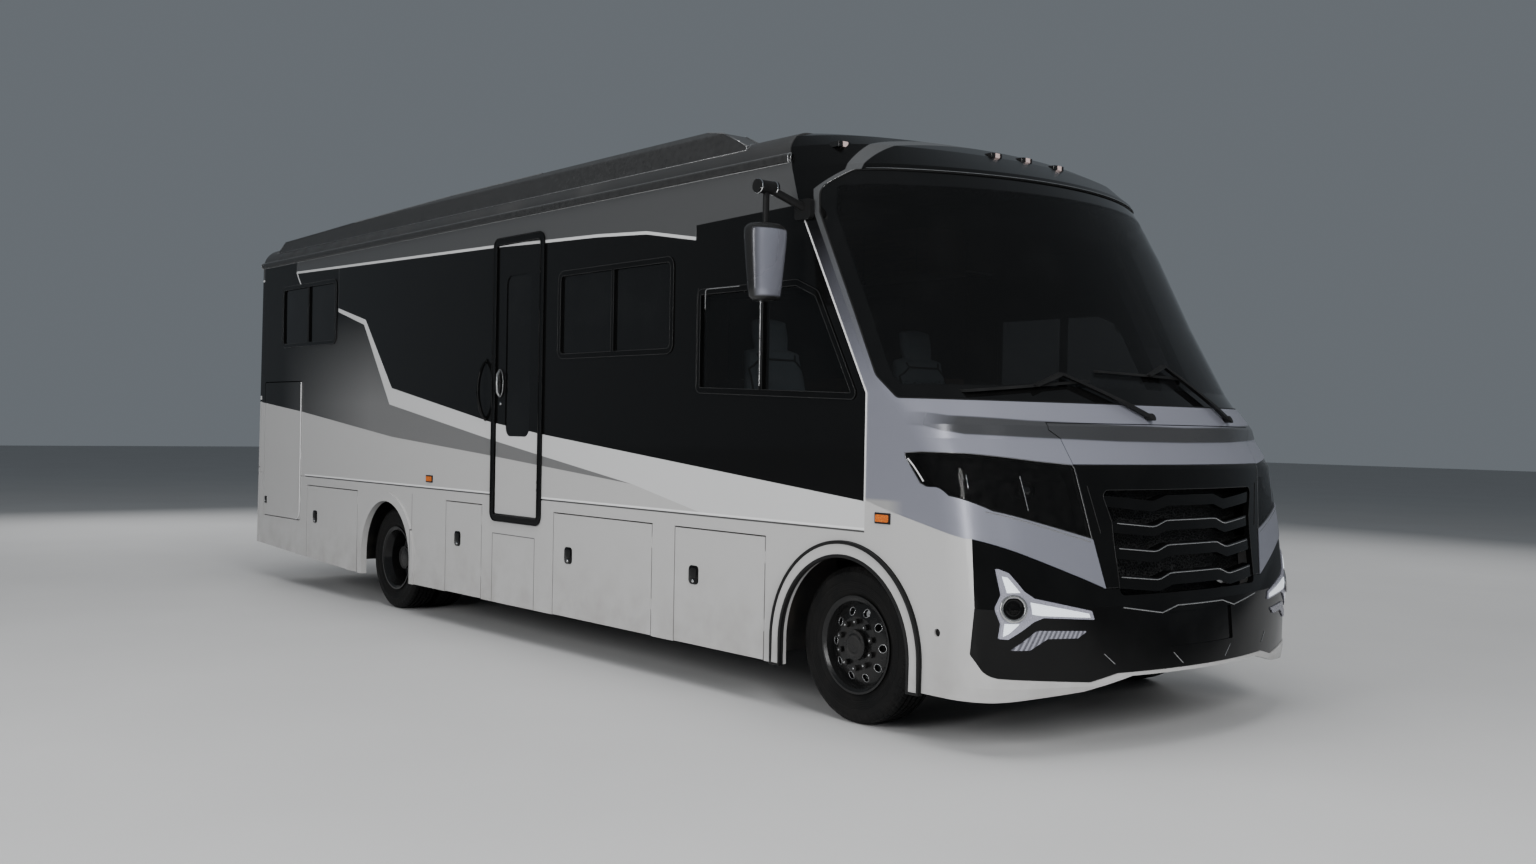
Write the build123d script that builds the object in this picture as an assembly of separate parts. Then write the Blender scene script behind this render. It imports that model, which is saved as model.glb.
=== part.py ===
from build123d import *
import os
from math import asin, cos, pi, radians, sin, sqrt, tan

# A motorhome on a front-engined chassis, at its real size in millimetres.
# X points to the nose, Y to the left side and Z up.
# The origin is on the ground, midway between the nose and the tow plate.

# Overall body
NOSE_X = 4500.0
REAR_X = -4500.0
HALF_WIDTH = 1225.0
SKIRT_BOTTOM = 230.0
BELT_Z = 890.0
EAVES_Z = 2760.0
EAVES_RADIUS = 170.0
CROWN_RISE = 25.0
WALL = 40.0
SKIRT_WALL = 30.0
CAP_WALL = 30.0
FLOOR_TOP = 890.0
FLOOR_THICK = 40.0
PANEL_GAP = 8.0
SEAM_GAP = 4.0
SEAT_GAP = 0.3
OVERCUT = 60.0

# Wheels and axles
FRONT_AXLE_X = 3310.0
WHEELBASE = 5070.0
TYRE_RADIUS = 380.0
TYRE_WIDTH = 215.0
TREAD_DEPTH = 9.0
TREAD_GROOVE = 10.0
TREAD_PITCH = 36.0
RIM_SEAT_RADIUS = 222.0
RIM_WIDTH = 194.0
RIM_LIP = 15.0
RIM_WELL_RADIUS = 190.0
DISC_THICK = 14.0
WHEEL_Y = 1048.0
TWIN_SPACING = 245.0
NUTS = 10
NUT_CIRCLE = 112.5
NUT_RADIUS = 14.0
NUT_HEIGHT = 22.0
HAND_HOLES = 10
HAND_HOLE_CIRCLE = 163.0
HAND_HOLE_RADIUS = 17.0
FRONT_ARCH_RADIUS = 451.0
FRONT_ARCH_Z = 361.0
REAR_ARCH_RADIUS = 418.0
REAR_ARCH_Z = 394.0
FLARE_WIDTH = 66.0
FLARE_PROUD = 16.0
KINGPIN_Y = 950.0
KINGPIN_RADIUS = 18.0
KINGPIN_HALF = 85.0
KINGPIN_EYE_RADIUS = 42.0
KINGPIN_EYE_HALF = 55.0
SPINDLE_RADIUS = 35.0
PIN_CLEARANCE = 0.05

REAR_AXLE_X = FRONT_AXLE_X - WHEELBASE
AXLE_Z = TYRE_RADIUS
RIM_OUTER_RADIUS = RIM_SEAT_RADIUS + RIM_LIP
FLOOR_BOTTOM = FLOOR_TOP - FLOOR_THICK
ROOF_EDGE_Z = EAVES_Z + EAVES_RADIUS
ROOF_TOP_Z = ROOF_EDGE_Z + CROWN_RISE
INNER_Y = HALF_WIDTH - WALL

# Nose in plan: one wide arc and two corner arcs, moved back as it rises
BLOCK_REAR_X = 1900.0
BROW_Z = 1545.0
NOSE_LEVELS = (
    # height, how far the tip lies behind the nose, corner radius, front radius
    (SKIRT_BOTTOM, 14.0, 300.0, 2500.0),
    (303.0, 0.0, 300.0, 2500.0),
    (650.0, 35.0, 300.0, 3000.0),
    (953.0, 78.0, 310.0, 3000.0),
    (1262.0, 100.0, 350.0, 2600.0),
    (1387.0, 155.0, 400.0, 2300.0),
    (1450.0, 148.0, 430.0, 2100.0),
    (BROW_Z, 192.0, 480.0, 1850.0),
    (1640.0, 250.0, 560.0, 1750.0),
    (2000.0, 460.0, 600.0, 1700.0),
    (2400.0, 685.0, 600.0, 1750.0),
    (2620.0, 820.0, 600.0, 1750.0),
    (2720.0, 915.0, 600.0, 1900.0),
    (2835.0, 1110.0, 600.0, 2400.0),
    (2900.0, 1255.0, 600.0, 2400.0),
    (2960.0, 1560.0, 600.0, 2400.0),
)
FACE_TOP = 1400.0

# Layers of the nose, measured inwards from its outer face
GLASS_INSET = 6.0
GLASS_THICK = 6.0
PANEL_INSET = 4.0
LENS_THICK = 8.0
TRAY_DEPTH = 70.0
TRAY_WALL = 12.0
SLAT_INSET = 10.0
SLAT_DEPTH = 42.0
DAYLIGHT_PROUD = 2.0
BLADE_WIDE = 12.0
BLADE_PROUD = 10.0
ARM_FOOT = 6.0
ARM_PROUD = 22.0
PIVOT_PROUD = 27.0
PIVOT_RADIUS = 17.0
PIVOT_Z = 1500.0

# Seam between the nose cap and the side walls, in side view
SEAM = (
    # along, up
    (3446.0, SKIRT_BOTTOM),
    (3446.0, 1591.0),
    (2937.0, 2532.0),
    (2863.0, EAVES_Z),
    (2800.0, 2980.0),
)
SEAM_X = SEAM[0][0]

# Rear face in side view leans forward as it rises
REAR_FOOT_X = -4457.0
REAR_TOP_X = -4392.0
REAR_FOOT_Z = 311.0
SKIRT_RISE_X = -2500.0
REAR_LEAN = (REAR_TOP_X - REAR_FOOT_X) / (EAVES_Z - REAR_FOOT_Z)

# Belt mouldings: grooves along the foot of the side walls
BELT_GROOVES = (
    # bottom, top, depth
    (932.0, 942.0, 5.0),
)

# Entry door and its frame on the right side: rear, front, bottom, top
ENTRY = (-150.0, 494.0, 770.0, 2633.0)
ENTRY_FRAME = 40.0
ENTRY_PROUD = 10.0
ENTRY_RADIUS = 60.0
ENTRY_PANE_MARGIN = 165.0
ENTRY_PANE_LOW = 1330.0
ENTRY_PANE_HIGH = 2380.0
ENTRY_HINGE_INSET = 250.0
ENTRY_LATCH = (60.0, 22.0, 1610.0, 1745.0)
ENTRY_LATCH_INSET = 103.0
STEP_TOP = 730.0
STEP_WALL = 10.0
STEP_DEPTH_Y = 890.0

# Grab handle behind the entry door
HANDLE_X = -245.0
HANDLE_LOW = 1427.0
HANDLE_HIGH = 1844.0
HANDLE_RADIUS = 14.0
HANDLE_REACH = 62.0

# Openings for windows
SIDE_WINDOWS = (
    # side, rear x, front x, bottom z, top z
    (-1, -3910.0, -2750.0, 2031.0, 2556.0),
    (-1, 667.0, 1888.0, 1820.0, 2362.0),
    (1, -3910.0, -2750.0, 2031.0, 2556.0),
    (1, -1900.0, -680.0, 1820.0, 2362.0),
    (1, 667.0, 1888.0, 1820.0, 2362.0),
)
WINDOW_RADIUS = 60.0
WINDOW_FRAME = 30.0
WINDOW_PROUD = 6.0
DIVIDER = 24.0
GLAZING = 6.0
GLAZING_INSET = 8.0
CAB_WINDOW = (
    # along, up, corner radius
    (2110.0, 1600.0, 40.0),
    (3395.0, 1560.0, 30.0),
    (3095.0, 2095.0, 60.0),
    (2935.0, 2160.0, 60.0),
    (2110.0, 2160.0, 40.0),
)
CAB_DIVIDER_X = 2659.0

# Lockers in the skirt, with the rear x and the front x of each door
LOCKERS = (
    # name, side, rear x, front x
    ("bay_door_right_rear", -1, -3316.0, -2290.0),
    ("bay_door_right_mid", -1, -803.0, -275.0),
    ("bay_door_right_front", -1, 643.0, 1718.0),
    ("bay_door_right_cab", -1, 1929.0, 2722.0),
    ("bay_door_left_rear", 1, -3316.0, -2290.0),
    ("bay_door_left_mid", 1, -803.0, 643.0),
    ("bay_door_left_front", 1, 1929.0, 2722.0),
)
LOCKER_TOP = 868.0
LOCKER_HINGE_LOW = 180.0
LOCKER_HINGE_HIGH = 110.0
DOOR_THICK = 26.0
DOOR_LIFT = 4.0
LATCH_WIDE = 65.0
LATCH_TALL = 85.0
LATCH_DEEP = 6.0
LATCH_INSET = 184.0
LATCH_Z = 612.0
BIN_WALL = 10.0
BIN_BOTTOM = 262.0
BIN_REAR_RISE = 60.0
BIN_BACK_Y = 720.0
BIN_END_GAP = 14.0
BIN_ARCH_GAP = 150.0

# Utility door behind the rear arch: rear, front, bottom, top
UTILITY = (-4310.0, -3456.0, 557.0, 1740.0)
UTILITY_RADIUS = 25.0
UTILITY_LOCK = (35.0, 80.0, 665.0, 730.0)

# Hinges of all side doors
HINGE_BARREL = 3.2
HINGE_PIN = 1.5
HINGE_LENGTH = 60.0
HINGE_REACH = 12.0
HINGE_DEPTH = 3.0

# Roof hatch: rear, front, right, left
HATCH = (-1500.0, -1000.0, -250.0, 250.0)
HATCH_KERB = 30.0
HATCH_LID = 22.0
HATCH_PIN_Y = 180.0
HATCH_PIN_AHEAD = 46.0
HATCH_PIN_RADIUS = 3.0
HATCH_BARREL = 6.0
HATCH_BARREL_HALF = 20.0
COOLER = (400.0, 1150.0, 350.0, 95.0, 60.0)

# Chassis: two channel rails, members between them and bearers under the floor
RAIL_IN_Y = 360.0
RAIL_OUT_Y = 430.0
RAIL_LOW = 480.0
RAIL_HIGH = 700.0
RAIL_SHEET = 10.0
RAIL_REAR_X = -4400.0
RAIL_FRONT_X = 4150.0
MEMBER_WIDE = 80.0
MEMBERS = (-4400.0, -3400.0, -2500.0, -1100.0, -200.0, 600.0, 1600.0, 2500.0)
BEARER_Y = 690.0
SPRING_Y = (RAIL_IN_Y + RAIL_OUT_Y) / 2
SPRING_HALF_WIDE = 35.0
SPRING_HALF_LONG = 640.0
SPRING_SEAT_HALF = 45.0
SPRING_LEAVES = 55.0
TOW_PLATE = (20.0, 110.0, 380.0, 480.0)
TOW_HOLES = (83.0, 56.0, 430.0, 8.5)
TOW_EYE = (4200.0, 60.0, 480.0, 540.0, 17.0)
ENGINE = (3080.0, 4000.0, 505.0)
TANK_RADIUS = 210.0
TANK_Z = 520.0
TANK_LOW = 350.0

# Steering wheel and seats
WHEEL_CENTRE = (3190.0, 600.0, 1470.0)
WHEEL_RADIUS = 210.0
WHEEL_TUBE = 15.0
SEAT_Y = 600.0


def outline(corners, place):
    """A closed face from corners (across, up, radius); place turns a pair into a point."""
    count = len(corners)
    legs = []
    for index, (u, v, radius) in enumerate(corners):
        before = corners[index - 1]
        after = corners[(index + 1) % count]
        back = Vector(before[0] - u, before[1] - v, 0).normalized()
        ahead = Vector(after[0] - u, after[1] - v, 0).normalized()
        corner = Vector(u, v, 0)
        if radius <= 0:
            legs.append((corner, None, corner))
            continue
        half_turn = radians(back.get_angle(ahead)) / 2
        reach = radius / tan(half_turn)
        middle = (back + ahead).normalized()
        centre = corner + middle * (radius / sin(half_turn))
        legs.append((corner + back * reach, centre - middle * radius, corner + ahead * reach))
    edges = []
    for index, (start, middle, end) in enumerate(legs):
        if middle is not None:
            edges.append(Edge.make_three_point_arc(place(start), place(middle), place(end)))
        following = legs[(index + 1) % count][0]
        if (following - end).length > 0.001:
            edges.append(Edge.make_line(place(end), place(following)))
    return Face(Wire(edges))


def sharp(points):
    """Corners with no radius."""
    return [(u, v, 0.0) for u, v in points]


def side_view(corners, y_from, y_to):
    """A side-view outline carried across the vehicle."""
    face = outline(corners, lambda p: Vector(p.X, y_from, p.Y))
    return Solid.extrude(face, Vector(0, y_to - y_from, 0))


def front_view(corners, x_from, x_to):
    """A front-view outline carried along the vehicle."""
    face = outline(corners, lambda p: Vector(x_from, p.X, p.Y))
    return Solid.extrude(face, Vector(x_to - x_from, 0, 0))


def plan_view(corners, z_from, z_to):
    """A plan outline carried upwards."""
    face = outline(corners, lambda p: Vector(p.X, p.Y, z_from))
    return Solid.extrude(face, Vector(0, 0, z_to - z_from))


def block(x_from, x_to, y_from, y_to, z_from, z_to):
    """A box between two corners."""
    low = Plane(origin=(min(x_from, x_to), min(y_from, y_to), min(z_from, z_to)))
    return Solid.make_box(abs(x_to - x_from), abs(y_to - y_from), abs(z_to - z_from), low)


def rod(start, end, radius):
    """A round bar from one point to another."""
    line = Vector(*end) - Vector(*start)
    return Solid.make_cylinder(radius, line.length, Plane(origin=start, z_dir=line))


def rectangle(u_low, u_high, v_low, v_high, radius):
    """Corners of a rounded rectangle."""
    return [(u_low, v_low, radius), (u_high, v_low, radius), (u_high, v_high, radius), (u_low, v_high, radius)]


def shrunk(corners, by):
    """A convex outline moved in on every side."""
    moved = []
    count = len(corners)
    for index, (u, v, radius) in enumerate(corners):
        corner = Vector(u, v, 0)
        back = (Vector(*corners[index - 1][:2], 0) - corner).normalized()
        ahead = (Vector(*corners[(index + 1) % count][:2], 0) - corner).normalized()
        middle = (back + ahead).normalized()
        half_turn = radians(back.get_angle(ahead)) / 2
        point = corner + middle * (by / sin(half_turn))
        moved.append((point.X, point.Y, max(radius - by, 5.0)))
    return moved


def eased(corners, gap):
    """An outline with every edge moved inwards by a gap, or outwards if the gap is negative."""
    count = len(corners)
    area = 0.0
    for index, (u, v, radius) in enumerate(corners):
        area += corners[index - 1][0] * v - u * corners[index - 1][1]
    step = gap if area > 0 else -gap
    moved = []
    for index, (u, v, radius) in enumerate(corners):
        last = corners[index - 1]
        following = corners[(index + 1) % count]
        before = Vector(last[1] - v, u - last[0], 0).normalized()
        after = Vector(v - following[1], following[0] - u, 0).normalized()
        shift = (before + after) * (step / (1 + before.dot(after)))
        moved.append((u + shift.X, v + shift.Y, radius))
    return moved


def flipped(corners):
    """The same front-view outline on the left half, in the same turn."""
    return [(-u, *rest) for u, *rest in reversed(corners)]


def mirrored(corners):
    """A whole front-view outline from its right half, which runs from the middle of its top."""
    return list(corners) + flipped(corners)


def other_side(shape):
    """The same thing on the other side of the vehicle."""
    return mirror(shape, about=Plane.XZ)


def both(shape):
    """A thing and its twin on the other side."""
    return list(shape.solids()) + list(other_side(shape).solids())


def minus(body, *tools):
    """What is left of a body, as a list of solids."""
    left = body
    for tool in tools:
        left = left - tool
    return list(left.solids())


def common(body, *tools):
    """What bodies share."""
    shared = body
    for tool in tools:
        shared = shared & tool
    return shared


def joined(*pieces):
    """Pieces that meet, as one."""
    whole = pieces[0]
    for piece in pieces[1:]:
        whole = whole + piece
    return whole


def body_profile(inset, low):
    """Front view of the body: upright sides, round eaves and a crowned roof."""
    half = HALF_WIDTH - inset
    radius = EAVES_RADIUS - inset
    flat = HALF_WIDTH - EAVES_RADIUS
    diagonal = radius * sqrt(0.5)
    eaves = ROOF_EDGE_Z - inset
    crown = ROOF_TOP_Z - inset

    def at(y, z):
        return Vector(0, y, z)

    edges = [
        Edge.make_line(at(-half, low), at(half, low)),
        Edge.make_three_point_arc(at(half, EAVES_Z), at(flat + diagonal, EAVES_Z + diagonal), at(flat, eaves)),
        Edge.make_three_point_arc(at(flat, eaves), at(0, crown), at(-flat, eaves)),
        Edge.make_three_point_arc(at(-flat, eaves), at(-flat - diagonal, EAVES_Z + diagonal), at(-half, EAVES_Z)),
    ]
    if low < EAVES_Z:
        edges.append(Edge.make_line(at(half, low), at(half, EAVES_Z)))
        edges.append(Edge.make_line(at(-half, EAVES_Z), at(-half, low)))
    return Face(Wire(edges))


def body_prism(inset, x_from, x_to, low):
    """The body's front view carried from one x to another."""
    return Solid.extrude(Pos(x_from, 0, 0) * body_profile(inset, low), Vector(x_to - x_from, 0, 0))


def nose_section(level, inset):
    """One level of the nose, inset all round."""
    height, behind, corner, front = level
    tip = NOSE_X - behind
    z = height - inset
    flat = HALF_WIDTH - corner
    turn = asin(flat / (front - corner))
    corner_x = tip - front + sqrt((front - corner) ** 2 - flat**2)
    wide = front - inset
    small = corner - inset
    half = HALF_WIDTH - inset

    def nose(angle):
        return Vector(tip - front + wide * cos(angle), wide * sin(angle), z)

    def bend(angle, side):
        return Vector(corner_x + small * cos(angle), side * (flat + small * sin(angle)), z)

    middle = (turn + pi / 2) / 2
    edges = [
        Edge.make_line(Vector(BLOCK_REAR_X, -half, z), Vector(corner_x, -half, z)),
        Edge.make_three_point_arc(Vector(corner_x, -half, z), bend(middle, -1), nose(-turn)),
        Edge.make_three_point_arc(nose(-turn), nose(0), nose(turn)),
        Edge.make_three_point_arc(nose(turn), bend(middle, 1), Vector(corner_x, half, z)),
        Edge.make_line(Vector(corner_x, half, z), Vector(BLOCK_REAR_X, half, z)),
        Edge.make_line(Vector(BLOCK_REAR_X, half, z), Vector(BLOCK_REAR_X, -half, z)),
    ]
    return Wire(edges)


def nose_block(inset, low=0.0, high=3000.0):
    """The solid nose between two of its levels, with the roof's round eaves."""
    levels = [level for level in NOSE_LEVELS if low <= level[0] <= high]
    solid = Solid.make_loft([nose_section(level, inset) for level in levels], True)
    if high > EAVES_Z:
        solid = common(solid, body_prism(inset, BLOCK_REAR_X, NOSE_X, SKIRT_BOTTOM - CAP_WALL))
    return solid


def face_layer(outer_inset, inner_inset):
    """A layer of the nose below the windscreen, between two insets."""
    return nose_block(outer_inset, 0, FACE_TOP) - nose_block(inner_inset, 0, FACE_TOP)


def ahead_of_seam():
    """Everything in front of the cap's seam."""
    low = SKIRT_BOTTOM - OVERCUT
    points = [(SEAM_X, low), *SEAM[1:], (NOSE_X + OVERCUT, SEAM[-1][1]), (NOSE_X + OVERCUT, low)]
    return side_view(sharp(points), -HALF_WIDTH - OVERCUT, HALF_WIDTH + OVERCUT)


def arch_cut(axle_x, centre_z, radius):
    """A wheel arch through both skirts."""
    width = HALF_WIDTH + OVERCUT
    round_part = rod((axle_x, -width, centre_z), (axle_x, width, centre_z), radius)
    straight = block(axle_x - radius, axle_x + radius, -width, width, 0, centre_z)
    return joined(round_part, straight)


FRONT_ARCH = arch_cut(FRONT_AXLE_X, FRONT_ARCH_Z, FRONT_ARCH_RADIUS)
REAR_ARCH = arch_cut(REAR_AXLE_X, REAR_ARCH_Z, REAR_ARCH_RADIUS)

# Outlines on the nose, in front view, for the right half; the left half mirrors them
LAMP = (
    # across, up, corner radius
    (-1226.0, 1326.0, 0.0),
    (-1226.0, 1172.0, 0.0),
    (-1218.0, 1131.0, 0.0),
    (-1127.0, 1070.0, 0.0),
    (-674.0, 945.0, 0.0),
    (-743.0, 1278.0, 0.0),
    (-909.0, 1293.0, 0.0),
    (-1163.0, 1324.0, 0.0),
)
LAMP_TIP = (
    # along, up: keeps the lamp's tip on the corner
    (3700.0, 1318.0),
    (3702.0, 1296.0),
    (3800.0, 1180.0),
    (3960.0, 1122.0),
    (4000.0, 900.0),
    (NOSE_X + OVERCUT, 900.0),
    (NOSE_X + OVERCUT, 1340.0),
    (3980.0, 1340.0),
)
PROJECTOR = (966.0, 1166.0, 38.0, 16.0)
LOWER_PANEL = mirrored((
    # across, up, corner radius
    (-628.0, 727.0, 0.0),
    (-733.0, 770.0, 0.0),
    (-1192.0, 949.0, 0.0),
    (-1206.0, 445.0, 40.0),
    (-1172.0, 350.0, 60.0),
    (-726.0, 318.0, 40.0),
    (-578.0, 350.0, 40.0),
))
CENTRE_PANEL = mirrored((
    # across, up, corner radius
    (-743.0, 1278.0, 0.0),
    (-674.0, 945.0, 0.0),
    (-628.0, 727.0, 0.0),
))
HOOD = mirrored((
    # across, up, corner radius
    (-812.0, 1464.0, 0.0),
    (-808.0, 1431.0, 0.0),
    (-752.0, 1392.0, 0.0),
    (-743.0, 1278.0, 0.0),
))
GRILLE_MOUTH = mirrored((
    # across, up, corner radius
    (-609.0, 1165.0, 30.0),
    (-557.0, 1022.0, 20.0),
    (-543.0, 692.0, 30.0),
))
PLATE_RECESS = (-248.0, 262.0, 446.0, 604.0)
PLATE_RECESS_DEEP = 8.0
SLATS = (
    # top of the slat where it dips, height
    (760.0, 60.0),
    (888.0, 56.0),
    (1001.0, 52.0),
    (1112.0, 50.0),
)
SLAT_DIP_Y = 286.0
SLAT_CREST_Y = 190.0
SLAT_CREST = 26.0
SLAT_END_Y = 700.0
SLAT_END_RISE = 38.0
DAYLIGHT_Y = (
    # across, up, corner radius
    (-1138.0, 826.0, 4.0),
    (-1129.0, 711.0, 12.0),
    (-1152.0, 651.0, 40.0),
    (-1133.0, 586.0, 12.0),
    (-1139.0, 522.0, 4.0),
    (-1110.0, 520.0, 6.0),
    (-1006.0, 595.0, 40.0),
    (-960.0, 611.0, 30.0),
    (-704.0, 594.0, 4.0),
    (-718.0, 633.0, 4.0),
    (-1000.0, 696.0, 30.0),
    (-1044.0, 727.0, 20.0),
    (-1099.0, 806.0, 6.0),
)
DAYLIGHT_HUB = (1089.0, 653.0, 46.0)
DAYLIGHT_STRIP = (
    # across, up, corner radius
    (-1099.0, 472.0, 2.0),
    (-986.0, 556.0, 14.0),
    (-744.0, 546.0, 3.0),
    (-793.0, 516.0, 3.0),
    (-940.0, 519.0, 14.0),
    (-1022.0, 471.0, 3.0),
)
CORNER_RECESS = (3926.0, 521.0, 18.0, 10.0)
BELLY = mirrored((
    # across, up: the cap's lower edge rises in the middle
    (-500.0, 335.0, 0.0),
    (-760.0, 280.0, 0.0),
    (-1150.0, 240.0, 0.0),
    (-1300.0, 236.0, 0.0),
    (-1300.0, 100.0, 0.0),
))
PAINT_SPLIT = (
    # along, up: the joint between the cap and the bumper on each side
    (SEAM_X, 1086.0),
    (3615.0, 1043.0),
    (4058.0, 949.0),
)
WINDSCREEN = (
    # along, up, corner radius
    (3078.0, 2480.0, 0.0),
    (3500.0, 1672.0, 90.0),
    (3640.0, 1566.0, 60.0),
    (NOSE_X, 1548.0, 0.0),
    (NOSE_X, 2700.0, 0.0),
    (3200.0, 2690.0, 60.0),
    (3060.0, 2600.0, 60.0),
)
BROW_LAMPS = (
    # across, height
    (-1072.0, 2827.0),
    (-251.0, 2843.0),
    (0.0, 2853.0),
    (251.0, 2843.0),
    (1072.0, 2827.0),
)
WIPERS = (
    # pivot y, elbow y and z, outer end of the blade, inner end of the blade
    (-250.0, -641.0, 1690.0, -1070.0, 1602.0, -504.0, 1661.0),
    (452.0, 28.0, 1750.0, -431.0, 1708.0, 184.0, 1690.0),
)
FRONT_ZONE_X = 3600.0
LOWER_PANEL_REAR_X = 4060.0


def on_nose(corners, rear=FRONT_ZONE_X):
    """A front-view outline carried through the front of the nose, from a place along the vehicle."""
    return front_view(corners, rear, NOSE_X + OVERCUT)


def lamp_cutter(corners, gap=0.0):
    """A headlamp's outline on one side."""
    tip = side_view(eased(sharp(LAMP_TIP), gap), -HALF_WIDTH - OVERCUT, HALF_WIDTH + OVERCUT)
    return common(on_nose(eased(corners, gap)), tip)


def cap_zone():
    """The part of the nose that belongs to the cap and not to the bumper."""
    high = SEAM[-1][1] + OVERCUT
    split = PAINT_SPLIT[-1][1]
    flank = [(BLOCK_REAR_X, high), (BLOCK_REAR_X, PAINT_SPLIT[0][1]), *PAINT_SPLIT, (NOSE_X + OVERCUT, split)]
    above = side_view(sharp([*flank, (NOSE_X + OVERCUT, high)]), -HALF_WIDTH - OVERCUT, HALF_WIDTH + OVERCUT)
    inner = LOWER_PANEL[:3]
    front = mirrored([(inner[2][0], FACE_TOP, 0.0), inner[2], inner[1], inner[0]])
    return joined(above, on_nose(front))


LAMP_CUTS = [lamp_cutter(LAMP), lamp_cutter(flipped(LAMP))]
LOWER_CUT = on_nose(LOWER_PANEL, LOWER_PANEL_REAR_X)
CENTRE_CUT = on_nose(CENTRE_PANEL)
HOOD_CUT = on_nose(HOOD)
MOUTH_CUT = on_nose(GRILLE_MOUTH)
WINDSCREEN_CUT = side_view(WINDSCREEN, -HALF_WIDTH - OVERCUT, HALF_WIDTH + OVERCUT)
BELLY_CUT = front_view(BELLY, BLOCK_REAR_X, NOSE_X + OVERCUT)

NODES = {}


def keep(name, *pieces):
    """Adds solids to a node."""
    found = NODES.setdefault(name, [])
    for piece in pieces:
        if isinstance(piece, (list, tuple)):
            keep(name, *piece)
        else:
            found.extend(piece.solids())


def hinge(axis_x, face_y, pin_y, door_x, fixed_x, levels):
    """Upright hinges: what moves with the door, and what stays on its frame.

    The barrel in the middle of each hinge turns on a pin held by a knuckle above and below."""
    inward = 1 if face_y < 0 else -1
    depth = face_y + inward * HINGE_DEPTH
    reach = HINGE_REACH if fixed_x > axis_x else -HINGE_REACH
    half = HINGE_LENGTH / 2
    moving = []
    fixed = []
    for z in levels:
        barrel = rod((axis_x, pin_y, z - half / 2), (axis_x, pin_y, z + half / 2), HINGE_BARREL)
        leaf = block(axis_x, door_x - reach, pin_y, depth, z - half / 2, z + half / 2)
        bore = rod((axis_x, pin_y, z - half), (axis_x, pin_y, z + half), HINGE_PIN + PIN_CLEARANCE)
        moving.append(joined(barrel, leaf) - bore)
        frame_side = rod((axis_x, pin_y, z - half), (axis_x, pin_y, z + half), HINGE_PIN)
        for end in (-1, 1):
            near = z + end * (half / 2 + SEAT_GAP)
            far = z + end * half
            knuckle = rod((axis_x, pin_y, near), (axis_x, pin_y, far), HINGE_BARREL)
            tab = block(axis_x, fixed_x + reach, pin_y, depth, near, far)
            frame_side = joined(frame_side, knuckle, tab)
        fixed.append(frame_side)
    return moving, fixed


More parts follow.
